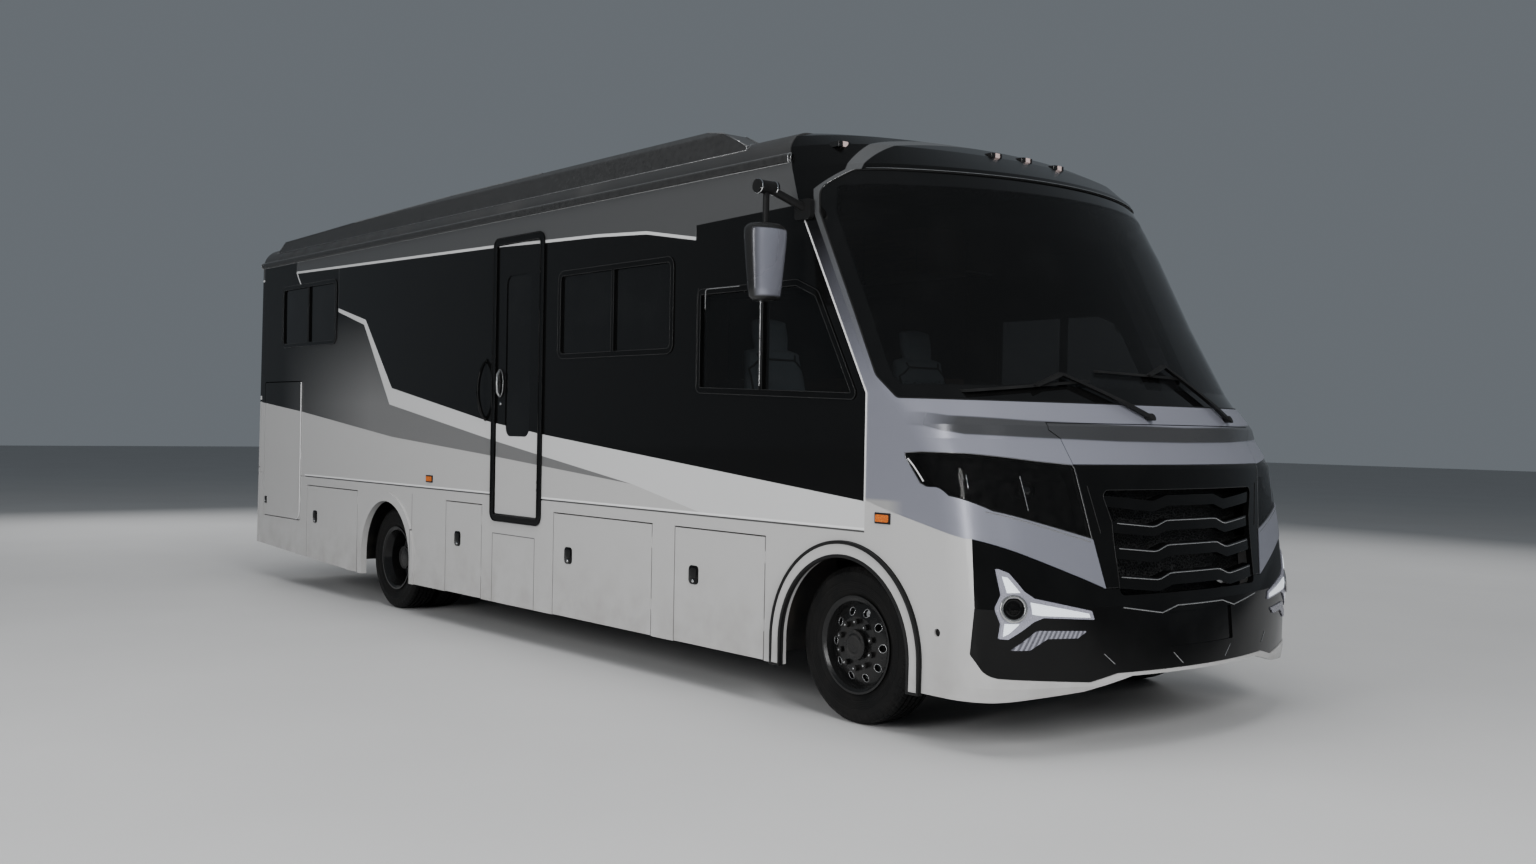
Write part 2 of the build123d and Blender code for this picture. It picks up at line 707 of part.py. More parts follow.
def make_nose():
    """The painted cap, hood and bumper, the windscreen and the black panels between them."""
    outer = nose_block(0)
    shell = common(outer, ahead_of_seam()) - nose_block(CAP_WALL)
    shell = shell - WINDSCREEN_CUT - BELLY_CUT - FRONT_ARCH - LOWER_CUT - CENTRE_CUT
    for cut in LAMP_CUTS:
        shell = shell - cut
    zone = cap_zone()
    gap = SEAM_GAP / 2
    keep("front_cap", minus(common(shell, zone), on_nose(eased(HOOD, -gap))))
    keep("hood", common(shell, on_nose(eased(HOOD, gap))))
    bumper = shell - zone
    recess_x, recess_z, recess_radius, recess_deep = CORNER_RECESS
    for side in (-1, 1):
        start = (recess_x, side * (HALF_WIDTH + OVERCUT), recess_z)
        end = (recess_x, side * (HALF_WIDTH - recess_deep), recess_z)
        bumper = bumper - rod(start, end, recess_radius)
    keep("bumper_shell", bumper)

    glass = nose_block(GLASS_INSET, BROW_Z - 100, 2840) - nose_block(GLASS_INSET + GLASS_THICK, BROW_Z - 100, 2840)
    keep("windscreen", common(glass, eased_windscreen(), ahead_of_seam()))

    panel = face_layer(PANEL_INSET, CAP_WALL)
    low, high, bottom, top = PLATE_RECESS
    recess = common(nose_block(0, 0, FACE_TOP), on_nose(rectangle(low, high, bottom, top, 8)))
    recess = recess - nose_block(PANEL_INSET + PLATE_RECESS_DEEP, 0, FACE_TOP)
    lower = common(panel, on_nose(eased(LOWER_PANEL, gap), LOWER_PANEL_REAR_X + gap))
    lower = lower - BELLY_CUT - MOUTH_CUT - recess
    keep("bumper_front", lower)
    keep("grille_surround", common(panel, on_nose(eased(CENTRE_PANEL, gap))) - MOUTH_CUT)

    lens = face_layer(PANEL_INSET, PANEL_INSET + LENS_THICK)
    lens_back = PANEL_INSET + LENS_THICK
    tray = face_layer(lens_back, TRAY_DEPTH)
    hollow = face_layer(lens_back, TRAY_DEPTH - TRAY_WALL)
    tray_back = nose_block(TRAY_DEPTH, 0, FACE_TOP)
    across, up, radius, setback = PROJECTOR
    behind_lens = nose_block(lens_back + setback, 0, FACE_TOP)
    for side, corners in ((-1, LAMP), (1, flipped(LAMP))):
        keep("lamp_lenses", common(lens, lamp_cutter(corners, gap)))
        case = common(tray, lamp_cutter(corners, SEAT_GAP))
        case = case - common(hollow, lamp_cutter(corners, SEAT_GAP + TRAY_WALL))
        floor = nose_at(tray_back, side * across, up)
        barrel = rod(tuple(floor), (NOSE_X, side * across, up), radius)
        keep("headlamps", joined(case, common(barrel, behind_lens)))

    daylight = face_layer(-DAYLIGHT_PROUD, PANEL_INSET)
    hub_y, hub_z, hub_radius = DAYLIGHT_HUB
    for side in (-1, 1):
        corners = DAYLIGHT_Y if side < 0 else flipped(DAYLIGHT_Y)
        strip = DAYLIGHT_STRIP if side < 0 else flipped(DAYLIGHT_STRIP)
        hub = rod((FRONT_ZONE_X, side * hub_y, hub_z), (NOSE_X + OVERCUT, side * hub_y, hub_z), hub_radius)
        keep("daytime_lamps", common(daylight, on_nose(corners)) - hub)
        keep("daytime_lamps", common(daylight, on_nose(strip)))

    slat_zone = common(face_layer(SLAT_INSET, SLAT_INSET + SLAT_DEPTH), on_nose(eased(GRILLE_MOUTH, SEAT_GAP)))
    for top, height in SLATS:
        bottom = top - height
        half = [
            (-SLAT_CREST_Y, top + SLAT_CREST, 30.0),
            (-SLAT_DIP_Y, top, 30.0),
            (-SLAT_END_Y, top + SLAT_END_RISE, 0.0),
            (-SLAT_END_Y, bottom + SLAT_END_RISE, 0.0),
            (-SLAT_DIP_Y, bottom, 30.0),
            (-SLAT_CREST_Y, bottom + SLAT_CREST, 30.0),
        ]
        keep("grille", common(slat_zone, on_nose(mirrored(half))))


def eased_windscreen():
    """The windscreen's outline, a little smaller than its opening."""
    return side_view(eased(WINDSCREEN, SEAT_GAP), -HALF_WIDTH - OVERCUT, HALF_WIDTH + OVERCUT)


def rear_face_x(z):
    """Where the inner face of the rear wall lies at a height."""
    return REAR_FOOT_X + WALL + REAR_LEAN * (z - REAR_FOOT_Z)


def door_cut(x_low, x_high, z_low, z_high, radius, side):
    """A hole through one side of the vehicle, from outside its plane to well inside."""
    corners = rectangle(x_low, x_high, z_low, z_high, radius)
    return side_view(corners, side * (HALF_WIDTH + OVERCUT), side * (INNER_Y - OVERCUT))


def window_frame(corners, inner, side, dividers):
    """A proud frame round a window, with its dividers."""
    y_out = side * (HALF_WIDTH + WINDOW_PROUD)
    y_in = side * INNER_Y
    ring = side_view(corners, y_out, y_in)
    ring = ring - side_view(inner, side * (HALF_WIDTH + OVERCUT), side * (INNER_Y - OVERCUT))
    low = min(corner[1] for corner in inner)
    high = max(corner[1] for corner in inner)
    for x in dividers:
        bar = block(x - DIVIDER / 2, x + DIVIDER / 2, y_out, y_in, low, high)
        ring = joined(ring, common(bar, side_view(inner, y_out, y_in)))
    return ring


def make_windows(walls):
    """Cuts the window openings in both side walls and fills them."""
    openings = []
    for side, rear, front, low, high in SIDE_WINDOWS:
        openings.append((side, rectangle(rear, front, low, high, WINDOW_RADIUS), [(rear + front) / 2]))
    for side in (-1, 1):
        openings.append((side, list(CAB_WINDOW), [CAB_DIVIDER_X]))
    for side, corners, dividers in openings:
        hole = side_view(corners, side * (HALF_WIDTH + OVERCUT), side * (INNER_Y - OVERCUT))
        walls[side] = walls[side] - hole
        inner = shrunk(corners, WINDOW_FRAME)
        keep("window_frames", window_frame(corners, inner, side, dividers))
        face_y = side * (HALF_WIDTH - GLAZING_INSET)
        back_y = side * (HALF_WIDTH - GLAZING_INSET - GLAZING)
        pane = side_view(inner, face_y, back_y)
        for x in dividers:
            pane = pane - block(x - DIVIDER / 2, x + DIVIDER / 2, face_y, back_y, 0, EAVES_Z)
        keep("window_glass", pane)


def make_entry(walls, skirts):
    """Entry door, its frame, glass, latch and grab handle on the right side."""
    rear, front, low, high = ENTRY
    hole = door_cut(rear, front, low, high, ENTRY_RADIUS, -1)
    walls[-1] = walls[-1] - hole
    skirts[-1] = skirts[-1] - hole
    face_y = -HALF_WIDTH - ENTRY_PROUD
    back_y = -INNER_Y + ENTRY_PROUD
    outer = rectangle(rear, front, low, high, ENTRY_RADIUS)
    inner = shrunk(outer, ENTRY_FRAME)
    frame = side_view(outer, face_y, back_y) - side_view(inner, face_y - OVERCUT, back_y + OVERCUT)
    leaf = side_view(shrunk(inner, PANEL_GAP), -HALF_WIDTH, -INNER_Y)
    margin = ENTRY_PANE_MARGIN
    pane = rectangle(rear + margin, front - margin, ENTRY_PANE_LOW, ENTRY_PANE_HIGH, WINDOW_RADIUS)
    leaf = leaf - side_view(pane, -HALF_WIDTH - OVERCUT, -INNER_Y + OVERCUT)
    hinge_x = front - ENTRY_FRAME - PANEL_GAP / 2
    levels = [low + ENTRY_HINGE_INSET, (low + high) / 2, high - ENTRY_HINGE_INSET]
    moving, fixed = hinge(hinge_x, -HALF_WIDTH, face_y, hinge_x - PANEL_GAP / 2, hinge_x + PANEL_GAP / 2, levels)
    keep("door_frame", joined(frame, *fixed))
    latch_wide, latch_deep, latch_low, latch_high = ENTRY_LATCH
    latch_x = rear + ENTRY_LATCH_INSET
    latch_ends = (latch_x - latch_wide / 2, latch_x + latch_wide / 2)
    latch = block(*latch_ends, -HALF_WIDTH - latch_deep, -HALF_WIDTH, latch_low, latch_high)
    keep("entry_door", joined(leaf, *moving, latch))
    pane_y = -HALF_WIDTH + GLAZING
    keep("entry_door_glass", side_view(shrunk(pane, SEAT_GAP), pane_y, pane_y + GLAZING))

    bar_y = -HALF_WIDTH - HANDLE_REACH
    bar = rod((HANDLE_X, bar_y, HANDLE_LOW), (HANDLE_X, bar_y, HANDLE_HIGH), HANDLE_RADIUS)
    for z in (HANDLE_LOW + HANDLE_RADIUS, HANDLE_HIGH - HANDLE_RADIUS):
        bar = joined(bar, rod((HANDLE_X, -HALF_WIDTH, z), (HANDLE_X, bar_y, z), HANDLE_RADIUS - 1))
    keep("grab_handle", bar)


def make_utility_door(walls, skirts):
    """The door behind the rear arch, with its lock recess."""
    rear, front, low, high = UTILITY
    hole = door_cut(rear, front, low, high, UTILITY_RADIUS, -1)
    walls[-1] = walls[-1] - hole
    skirts[-1] = skirts[-1] - hole
    corners = shrunk(rectangle(rear, front, low, high, UTILITY_RADIUS), PANEL_GAP)
    door = side_view(corners, -HALF_WIDTH, -HALF_WIDTH + DOOR_THICK)
    hinge_x = front - PANEL_GAP / 2
    levels = [low + LOCKER_HINGE_LOW, BELT_Z + 2 * LOCKER_HINGE_HIGH, high - LOCKER_HINGE_LOW]
    moving, fixed = hinge(hinge_x, -HALF_WIDTH, -HALF_WIDTH, hinge_x - PANEL_GAP / 2, front, levels)
    lock_rear, lock_front, lock_low, lock_high = UTILITY_LOCK
    lock_ends = (rear + lock_rear, rear + lock_front)
    recess = block(*lock_ends, -HALF_WIDTH, -HALF_WIDTH + LATCH_DEEP, lock_low, lock_high)
    keep("utility_door", joined(door, *moving) - recess)
    skirts[-1] = joined(skirts[-1], fixed[0])
    walls[-1] = joined(walls[-1], *fixed[1:])


def make_lockers(skirts):
    """Skirt doors with their hinges and latch recesses, and the tray behind each one."""
    slope = sharp([
        (REAR_FOOT_X, 0.0),
        (SKIRT_RISE_X, 0.0),
        (SKIRT_RISE_X, SKIRT_BOTTOM + DOOR_LIFT),
        (REAR_FOOT_X, REAR_FOOT_Z + DOOR_LIFT),
    ])
    for name, side, rear, front in LOCKERS:
        behind_arch = front < REAR_AXLE_X
        out_y = side * HALF_WIDTH
        in_y = side * (HALF_WIDTH - DOOR_THICK)
        skirts[side] = skirts[side] - door_cut(rear, front, SKIRT_BOTTOM - OVERCUT, LOCKER_TOP, 0, side)
        low = SKIRT_BOTTOM if behind_arch else SKIRT_BOTTOM + DOOR_LIFT
        corners = rectangle(rear + PANEL_GAP, front - PANEL_GAP, low, LOCKER_TOP - PANEL_GAP, DOOR_LIFT)
        door = side_view(corners, out_y, in_y)
        levels = [SKIRT_BOTTOM + LOCKER_HINGE_LOW, LOCKER_TOP - LOCKER_HINGE_HIGH]
        if behind_arch:
            levels = [LOCKER_TOP - LOCKER_HINGE_HIGH + HINGE_LENGTH / 2]
            door = door - REAR_ARCH - side_view(slope, out_y + side * OVERCUT, in_y - side * OVERCUT)
        hinge_x = front - PANEL_GAP / 2
        moving, fixed = hinge(hinge_x, out_y, out_y, hinge_x - PANEL_GAP / 2, front, levels)
        latch_x = rear + LATCH_INSET
        latch_ends = (latch_x - LATCH_WIDE / 2, latch_x + LATCH_WIDE / 2)
        latch_levels = (LATCH_Z - LATCH_TALL / 2, LATCH_Z + LATCH_TALL / 2)
        recess = block(*latch_ends, out_y, out_y - side * LATCH_DEEP, *latch_levels)
        keep(name, joined(door, *moving) - recess)
        skirts[side] = joined(skirts[side], *fixed)

        bin_front = front - BIN_END_GAP
        bin_rear = rear + BIN_END_GAP
        low = BIN_BOTTOM
        if behind_arch:
            bin_front = REAR_AXLE_X - REAR_ARCH_RADIUS - BIN_ARCH_GAP
            low = BIN_BOTTOM + BIN_REAR_RISE
        skin_y = side * (HALF_WIDTH - SKIRT_WALL)
        tray = block(bin_rear, bin_front, skin_y, side * BIN_BACK_Y, low, FLOOR_BOTTOM)
        ends = (bin_rear + BIN_WALL, bin_front - BIN_WALL)
        room = block(*ends, out_y, side * (BIN_BACK_Y + BIN_WALL), low + BIN_WALL, FLOOR_BOTTOM - BIN_WALL)
        keep("locker_bins", tray - room)


def make_sides():
    """Side walls, skirts, doors, lockers, side glass and wheel arch flares."""
    walls = {}
    skirts = {}
    for side in (-1, 1):
        out_y = side * HALF_WIDTH
        upper = [(rear_face_x(BELT_Z), BELT_Z), (SEAM_X, BELT_Z), *SEAM[1:4], (rear_face_x(EAVES_Z), EAVES_Z)]
        wall = side_view(sharp(upper), out_y, side * INNER_Y)
        for low, high, deep in BELT_GROOVES:
            wall = wall - block(REAR_X, SEAM_X, out_y, out_y - side * deep, low, high)
        walls[side] = wall
        lower = [
            (REAR_FOOT_X + WALL, REAR_FOOT_Z),
            (SKIRT_RISE_X, SKIRT_BOTTOM),
            (SEAM_X, SKIRT_BOTTOM),
            (SEAM_X, BELT_Z),
            (rear_face_x(BELT_Z), BELT_Z),
        ]
        skirt = side_view(sharp(lower), out_y, side * (HALF_WIDTH - SKIRT_WALL))
        skirts[side] = skirt - FRONT_ARCH - REAR_ARCH
    make_windows(walls)
    make_entry(walls, skirts)
    make_utility_door(walls, skirts)
    make_lockers(skirts)
    keep("side_walls", walls[-1], walls[1])
    keep("skirts", skirts[-1], skirts[1])

    arches = (
        # axle, centre height, radius, opening
        (FRONT_AXLE_X, FRONT_ARCH_Z, FRONT_ARCH_RADIUS, FRONT_ARCH),
        (REAR_AXLE_X, REAR_ARCH_Z, REAR_ARCH_RADIUS, REAR_ARCH),
    )
    for side in (-1, 1):
        near = side * HALF_WIDTH
        far = side * (HALF_WIDTH + FLARE_PROUD)
        for axle_x, centre_z, radius, opening in arches:
            wide = radius + FLARE_WIDTH
            ring = rod((axle_x, near, centre_z), (axle_x, far, centre_z), wide)
            legs = block(axle_x - wide, axle_x + wide, near, far, SKIRT_BOTTOM, centre_z)
            above = block(axle_x - wide, axle_x + wide, near, far, SKIRT_BOTTOM, centre_z + wide)
            keep("arch_flares", common(joined(ring, legs), above) - opening)


def make_rear():
    """Rear wall, lamps, bumper and the gap for the tow plate."""
    foot = (REAR_FOOT_X, REAR_FOOT_Z)
    head = (REAR_TOP_X, EAVES_Z)
    corners = sharp([foot, (foot[0] + WALL, foot[1]), (head[0] + WALL, head[1]), head])
    wall = side_view(corners, -HALF_WIDTH, HALF_WIDTH)
    tow_gap = block(REAR_X - OVERCUT, REAR_FOOT_X + WALL + OVERCUT, -150, 150, 300, 540)
    wall = wall - tow_gap
    keep("rear_wall", wall)
    for side in (-1, 1):
        lamp = plan_view([
            (REAR_FOOT_X + 12, side * 1222.0, 0.0),
            (REAR_FOOT_X - 23, side * 1190.0, 14.0),
            (REAR_FOOT_X - 23, side * 1090.0, 14.0),
            (REAR_FOOT_X + 12, side * 1070.0, 0.0),
        ], 700, 980)
        keep("rear_lamps", lamp - wall)
    brake_lamp = block(REAR_TOP_X - 30, REAR_TOP_X, -220, 220, 2610, 2640)
    keep("rear_lamps", brake_lamp - wall)
    bar = side_view([
        (REAR_FOOT_X + 10, REAR_FOOT_Z, 0.0),
        (REAR_FOOT_X - 16, REAR_FOOT_Z + 20, 10.0),
        (REAR_FOOT_X - 22, 470.0, 14.0),
        (REAR_FOOT_X + 10, 520.0, 0.0),
    ], -1190, 1190)
    keep("rear_bumper", bar - wall - tow_gap)


def make_roof():
    """Roof, gutter rails, side fairings, hatch and cooler."""
    rear = REAR_TOP_X
    shell = body_prism(0, rear, SEAM[3][0], EAVES_Z) - body_prism(WALL, rear, SEAM[3][0], EAVES_Z)
    shell = shell - ahead_of_seam()
    x_low, x_high, y_low, y_high = HATCH
    edge = HATCH_KERB
    kerb_top = ROOF_TOP_Z + HATCH_KERB
    foot = ROOF_TOP_Z - HATCH_KERB
    kerb = block(x_low - edge, x_high + edge, y_low - edge, y_high + edge, foot, kerb_top)
    hole = block(x_low, x_high, y_low, y_high, ROOF_TOP_Z - WALL - OVERCUT, kerb_top + OVERCUT)
    closing = body_prism(0, rear, rear + WALL, EAVES_Z)
    roof = joined(shell, kerb, closing) - hole
    lid_low = kerb_top + PANEL_GAP / 2
    corners = rectangle(x_low - edge, x_high + edge, y_low - edge, y_high + edge, WALL)
    lid = plan_view(corners, lid_low, lid_low + HATCH_LID)
    axis_x = x_high + HATCH_PIN_AHEAD
    axis_z = lid_low + HATCH_BARREL - 2
    half = HATCH_BARREL_HALF
    for y in (-HATCH_PIN_Y, HATCH_PIN_Y):
        ends = ((axis_x, y - 2 * half, axis_z), (axis_x, y + 2 * half, axis_z))
        arm = block(x_high, axis_x, y - half, y + half, lid_low, lid_low + 8)
        barrel = rod((axis_x, y - half, axis_z), (axis_x, y + half, axis_z), HATCH_BARREL)
        lid = joined(lid, arm, barrel) - rod(*ends, HATCH_PIN_RADIUS + PIN_CLEARANCE)
        fixed = rod(*ends, HATCH_PIN_RADIUS)
        for end in (-1, 1):
            near = y + end * (half + SEAT_GAP)
            far = y + end * 2 * half
            ear = rod((axis_x, near, axis_z), (axis_x, far, axis_z), HATCH_BARREL)
            leg = block(axis_x - HATCH_BARREL, axis_x + HATCH_BARREL, near, far, foot, axis_z)
            fixed = joined(fixed, ear, leg)
        roof = joined(roof, fixed)
    keep("roof_hatch_lid", lid)
    keep("roof_shell", roof)

    profile = [
        # across, up, corner radius
        (1005.0, 2900.0, 0.0),
        (1005.0, 3034.0, 15.0),
        (1120.0, 3042.0, 30.0),
        (1160.0, 3000.0, 30.0),
        (1182.0, 2868.0, 8.0),
        (1120.0, 2850.0, 0.0),
    ]
    top_line = sharp([
        # along, up
        (-4170.0, 2800.0),
        (-4150.0, 2885.0),
        (-4025.0, 2965.0),
        (-998.0, 3031.0),
        (2006.0, 3042.0),
        (2230.0, 3000.0),
        (2450.0, 2900.0),
        (2450.0, 2800.0),
    ])
    under = body_prism(0, rear - OVERCUT, SEAM[1][0], EAVES_Z)
    fairing = common(front_view(profile, -4160, 2450), side_view(top_line, 900, HALF_WIDTH)) - under
    gutter = front_view([
        # across, up, corner radius
        (HALF_WIDTH, 2752.0, 0.0),
        (1241.0, 2756.0, 6.0),
        (1243.0, 2790.0, 8.0),
        (HALF_WIDTH, 2800.0, 0.0),
        (1180.0, 2800.0, 0.0),
        (1180.0, 2770.0, 0.0),
        (HALF_WIDTH, 2770.0, 0.0),
    ], rear, SEAM[3][0])
    keep("roof_rails", both(fairing), both(gutter - under))
    near, far, half_wide, tall, inset = COOLER
    base = rectangle(near, far, -half_wide, half_wide, 90)
    lid_corners = rectangle(near + inset, far - inset, -half_wide + inset, half_wide - inset, 60)
    low = outline(base, lambda p: Vector(p.X, p.Y, ROOF_TOP_Z - WALL)).outer_wire()
    high = outline(lid_corners, lambda p: Vector(p.X, p.Y, ROOF_TOP_Z + tall)).outer_wire()
    keep("roof_units", Solid.make_loft([low, high], True) - under)


def make_floor():
    """Floor deck, the step well at the entry, and the cabin's furniture."""
    rear, front, low, high = ENTRY
    deck = block(REAR_FOOT_X + WALL + 20, SEAM_X, -INNER_Y, INNER_Y, FLOOR_BOTTOM, FLOOR_TOP)
    cab_room = block(SEAM_X, RAIL_FRONT_X - 80, -INNER_Y - 5, INNER_Y + 5, FLOOR_BOTTOM, FLOOR_TOP)
    cab = common(nose_block(CAP_WALL, 0, FACE_TOP), cab_room)
    frame_y = -INNER_Y + ENTRY_PROUD + SEAT_GAP
    door_room = block(rear - SEAT_GAP, front + SEAT_GAP, -HALF_WIDTH, frame_y, low - OVERCUT, high)
    well_rear = rear + ENTRY_FRAME
    well_front = front - ENTRY_FRAME
    well_room = block(well_rear, well_front, -HALF_WIDTH, -STEP_DEPTH_Y - STEP_WALL, FLOOR_BOTTOM - 1, FLOOR_TOP + 1)
    keep("floor_deck", joined(deck, cab) - door_room - well_room)
    shell = block(well_rear - STEP_WALL, well_front + STEP_WALL, frame_y, -STEP_DEPTH_Y, STEP_TOP - STEP_WALL, FLOOR_BOTTOM)
    room = block(well_rear, well_front, -HALF_WIDTH, -STEP_DEPTH_Y - STEP_WALL, STEP_TOP, FLOOR_BOTTOM + 1)
    keep("entry_step", shell - room)

    shelf = side_view(sharp([
        # along, up
        (3330.0, 1080.0),
        (3330.0, 1420.0),
        (3480.0, 1500.0),
        (4260.0, 1520.0),
        (4360.0, 1400.0),
        (4300.0, 1345.0),
        (3660.0, 1345.0),
        (3600.0, 1080.0),
    ]), -HALF_WIDTH, HALF_WIDTH)
    ahead = block(3480, NOSE_X, -HALF_WIDTH, HALF_WIDTH, 1000, 1600)
    dash = common(shelf, nose_block(CAP_WALL + SEAT_GAP, 900, 1700), ahead)
    pod = side_view([
        # along, up, corner radius
        (3300.0, 1180.0, 20.0),
        (3330.0, 1470.0, 40.0),
        (3480.0, 1500.0, 0.0),
        (3480.0, 1180.0, 0.0),
    ], 180, 1100)
    x, y, z = WHEEL_CENTRE
    face = Plane(origin=WHEEL_CENTRE, x_dir=(0, 1, 0), z_dir=(-0.55, 0, 0.84))
    hub = face * Cylinder(52, 34)
    spokes = face * Box(2 * WHEEL_RADIUS - WHEEL_TUBE, 34, 16)
    ring = face * Solid.make_torus(WHEEL_RADIUS, WHEEL_TUBE)
    column = rod(WHEEL_CENTRE, (x + 210, y, z - 140), 26)
    wheel = joined(column, hub, spokes, ring)
    keep("dashboard", joined(dash, pod) - column, minus(wheel, pod, dash))

    for side in (-1, 1):
        y = side * SEAT_Y
        post = block(2240, 2640, y - 190, y + 190, FLOOR_TOP, 1180)
        tray = block(2200, 2690, y - 215, y + 215, 1180, 1215)
        keep("cabin_furniture", joined(post, tray))
        seat_low = 1215 + SEAT_GAP
        seat = [(2177, seat_low, 12), (2730, seat_low, 40), (2740, 1360, 60), (2149, 1338, 12)]
        back = [(2176, 1216, 12), (2020, 1910, 12), (1930, 1895, 12), (2040, 1216, 12)]
        rest = [(2012, 1909.2, 12), (1990, 2060, 40), (1905, 2050, 40), (1932, 1895.9, 12)]
        keep("seat_cushions", side_view(seat, y - 255, y + 255))
        keep("seat_cushions", side_view(back, y - 250, y + 250))
        keep("seat_cushions", side_view(rest, y - 140, y + 140))
    wall_y = INNER_Y - SEAT_GAP
    keep("cabin_furniture", block(-300, 1850, 640, wall_y, FLOOR_TOP, 1760))
    keep("cabin_furniture", block(-4200, 1850, 820, wall_y, 2440, 2740))
    keep("cabin_furniture", block(-2600, -700, 560, wall_y, FLOOR_TOP, 2440))
    keep("cabin_furniture", block(700, 1850, -wall_y, -640, FLOOR_TOP, 1340))


def make_chassis():
    """Channel rails, cross members, floor bearers, tow plate and eye, engine and tank."""
    low = RAIL_LOW + RAIL_SHEET
    high = RAIL_HIGH - RAIL_SHEET
    web = RAIL_OUT_Y - RAIL_SHEET
    channel = sharp([
        (RAIL_IN_Y, RAIL_LOW),
        (RAIL_OUT_Y, RAIL_LOW),
        (RAIL_OUT_Y, RAIL_HIGH),
        (RAIL_IN_Y, RAIL_HIGH),
        (RAIL_IN_Y, high),
        (web, high),
        (web, low),
        (RAIL_IN_Y, low),
    ])
    keep("chassis_frame", both(front_view(channel, RAIL_REAR_X, RAIL_FRONT_X)))
    plate_thick, plate_y, plate_low, plate_high = TOW_PLATE
    plate = block(REAR_X, REAR_X + plate_thick, -plate_y, plate_y, plate_low, plate_high)
    wide, tall, centre_z, radius = TOW_HOLES
    for y in (-wide / 2, wide / 2):
        for z in (centre_z - tall / 2, centre_z + tall / 2):
            plate = plate - rod((REAR_X - 5, y, z), (REAR_X + plate_thick + 5, y, z), radius)
    arm = block(REAR_X, RAIL_REAR_X, -plate_y, plate_y, plate_high, low + MEMBER_WIDE / 2)
    for x in MEMBERS:
        member = block(x, x + MEMBER_WIDE, -web, web, low, high)
        if x == RAIL_REAR_X:
            member = joined(member, arm, plate)
        keep("chassis_frame", member)
        keep("chassis_frame", block(x, x + MEMBER_WIDE, -BEARER_Y, BEARER_Y, RAIL_HIGH, FLOOR_BOTTOM))
    eye_x, eye_half, eye_low, eye_high, eye_radius = TOW_EYE
    beam = block(RAIL_FRONT_X - eye_half, RAIL_FRONT_X, -web, web, low, high)
    eye = block(RAIL_FRONT_X, eye_x + eye_half / 2, -eye_half, eye_half, eye_low, eye_high)
    hole = rod((eye_x, 0, eye_low - 5), (eye_x, 0, eye_high + 5), eye_radius)
    foot = block(RAIL_FRONT_X - eye_half, RAIL_FRONT_X, -eye_half, eye_half, eye_low, low)
    keep("chassis_frame", joined(beam, foot, eye) - hole)

    side_y = RAIL_IN_Y - SEAT_GAP
    engine_rear, engine_front, engine_low = ENGINE
    keep("engine_block", block(engine_rear, engine_front, -side_y, side_y, engine_low, FLOOR_BOTTOM - 5))
    cooler_front = RAIL_FRONT_X - 10
    keep("engine_block", block(cooler_front - 60, cooler_front, -480, 480, RAIL_HIGH, 1130))
    tank_rear = MEMBERS[5] + MEMBER_WIDE + SEAT_GAP
    tank_front = MEMBERS[6] - SEAT_GAP
    tank = rod((tank_rear, 0, TANK_Z), (tank_front, 0, TANK_Z), TANK_RADIUS)
    tank = common(tank, block(tank_rear, tank_front, -side_y, side_y, TANK_LOW, FLOOR_BOTTOM))
    keep("fuel_tank", tank)


def make_axles():
    """Front beam with knuckles, rear axle, springs and wheels."""
    beam = front_view(sharp(mirrored_pairs([
        # across, up
        (0.0, 350.0),
        (-700.0, 350.0),
        (-955.0, 425.0),
        (-955.0, 340.0),
        (-700.0, 285.0),
    ])), FRONT_AXLE_X - 40, FRONT_AXLE_X + 40)
    for side in (-1, 1):
        centre = (FRONT_AXLE_X, side * KINGPIN_Y)
        column = ((*centre, AXLE_Z - KINGPIN_EYE_HALF), (*centre, AXLE_Z + KINGPIN_EYE_HALF))
        beam = beam - rod((*centre, 0), (*centre, 2 * AXLE_Z), KINGPIN_EYE_RADIUS)
        beam = joined(beam, rod(*column, KINGPIN_EYE_RADIUS))
        beam = beam - rod((*centre, 0), (*centre, 2 * AXLE_Z), KINGPIN_RADIUS + PIN_CLEARANCE)
    front_springs = make_springs(FRONT_AXLE_X, 349.0, 440.0)
    rear_springs = make_springs(REAR_AXLE_X, 405.0, 445.0)
    keep("front_axle", joined(beam, *front_springs))
    tube = rod((REAR_AXLE_X, -BEARER_Y, AXLE_Z), (REAR_AXLE_X, BEARER_Y, AXLE_Z), 60)
    bowl = Pos(REAR_AXLE_X, 0, AXLE_Z) * Sphere(190)
    tip_y = WHEEL_Y - 8
    spindle = rod((REAR_AXLE_X, -tip_y, AXLE_Z), (REAR_AXLE_X, tip_y, AXLE_Z), SPINDLE_RADIUS)
    keep("rear_axle", joined(tube, bowl, spindle, *rear_springs))

    for side, word in ((-1, "right"), (1, "left")):
        make_knuckle(side, word)
        make_wheel(f"front_tyre_{word}", f"front_rim_{word}", FRONT_AXLE_X, side, (WHEEL_Y,))
        pair = (WHEEL_Y, WHEEL_Y - TWIN_SPACING)
        make_wheel(f"rear_tyres_{word}", f"rear_rims_{word}", REAR_AXLE_X, side, pair)


def mirrored_pairs(points):
    """A whole outline from the right half's points (across, up)."""
    return list(points) + [(-y, z) for y, z in reversed(points) if y != 0]


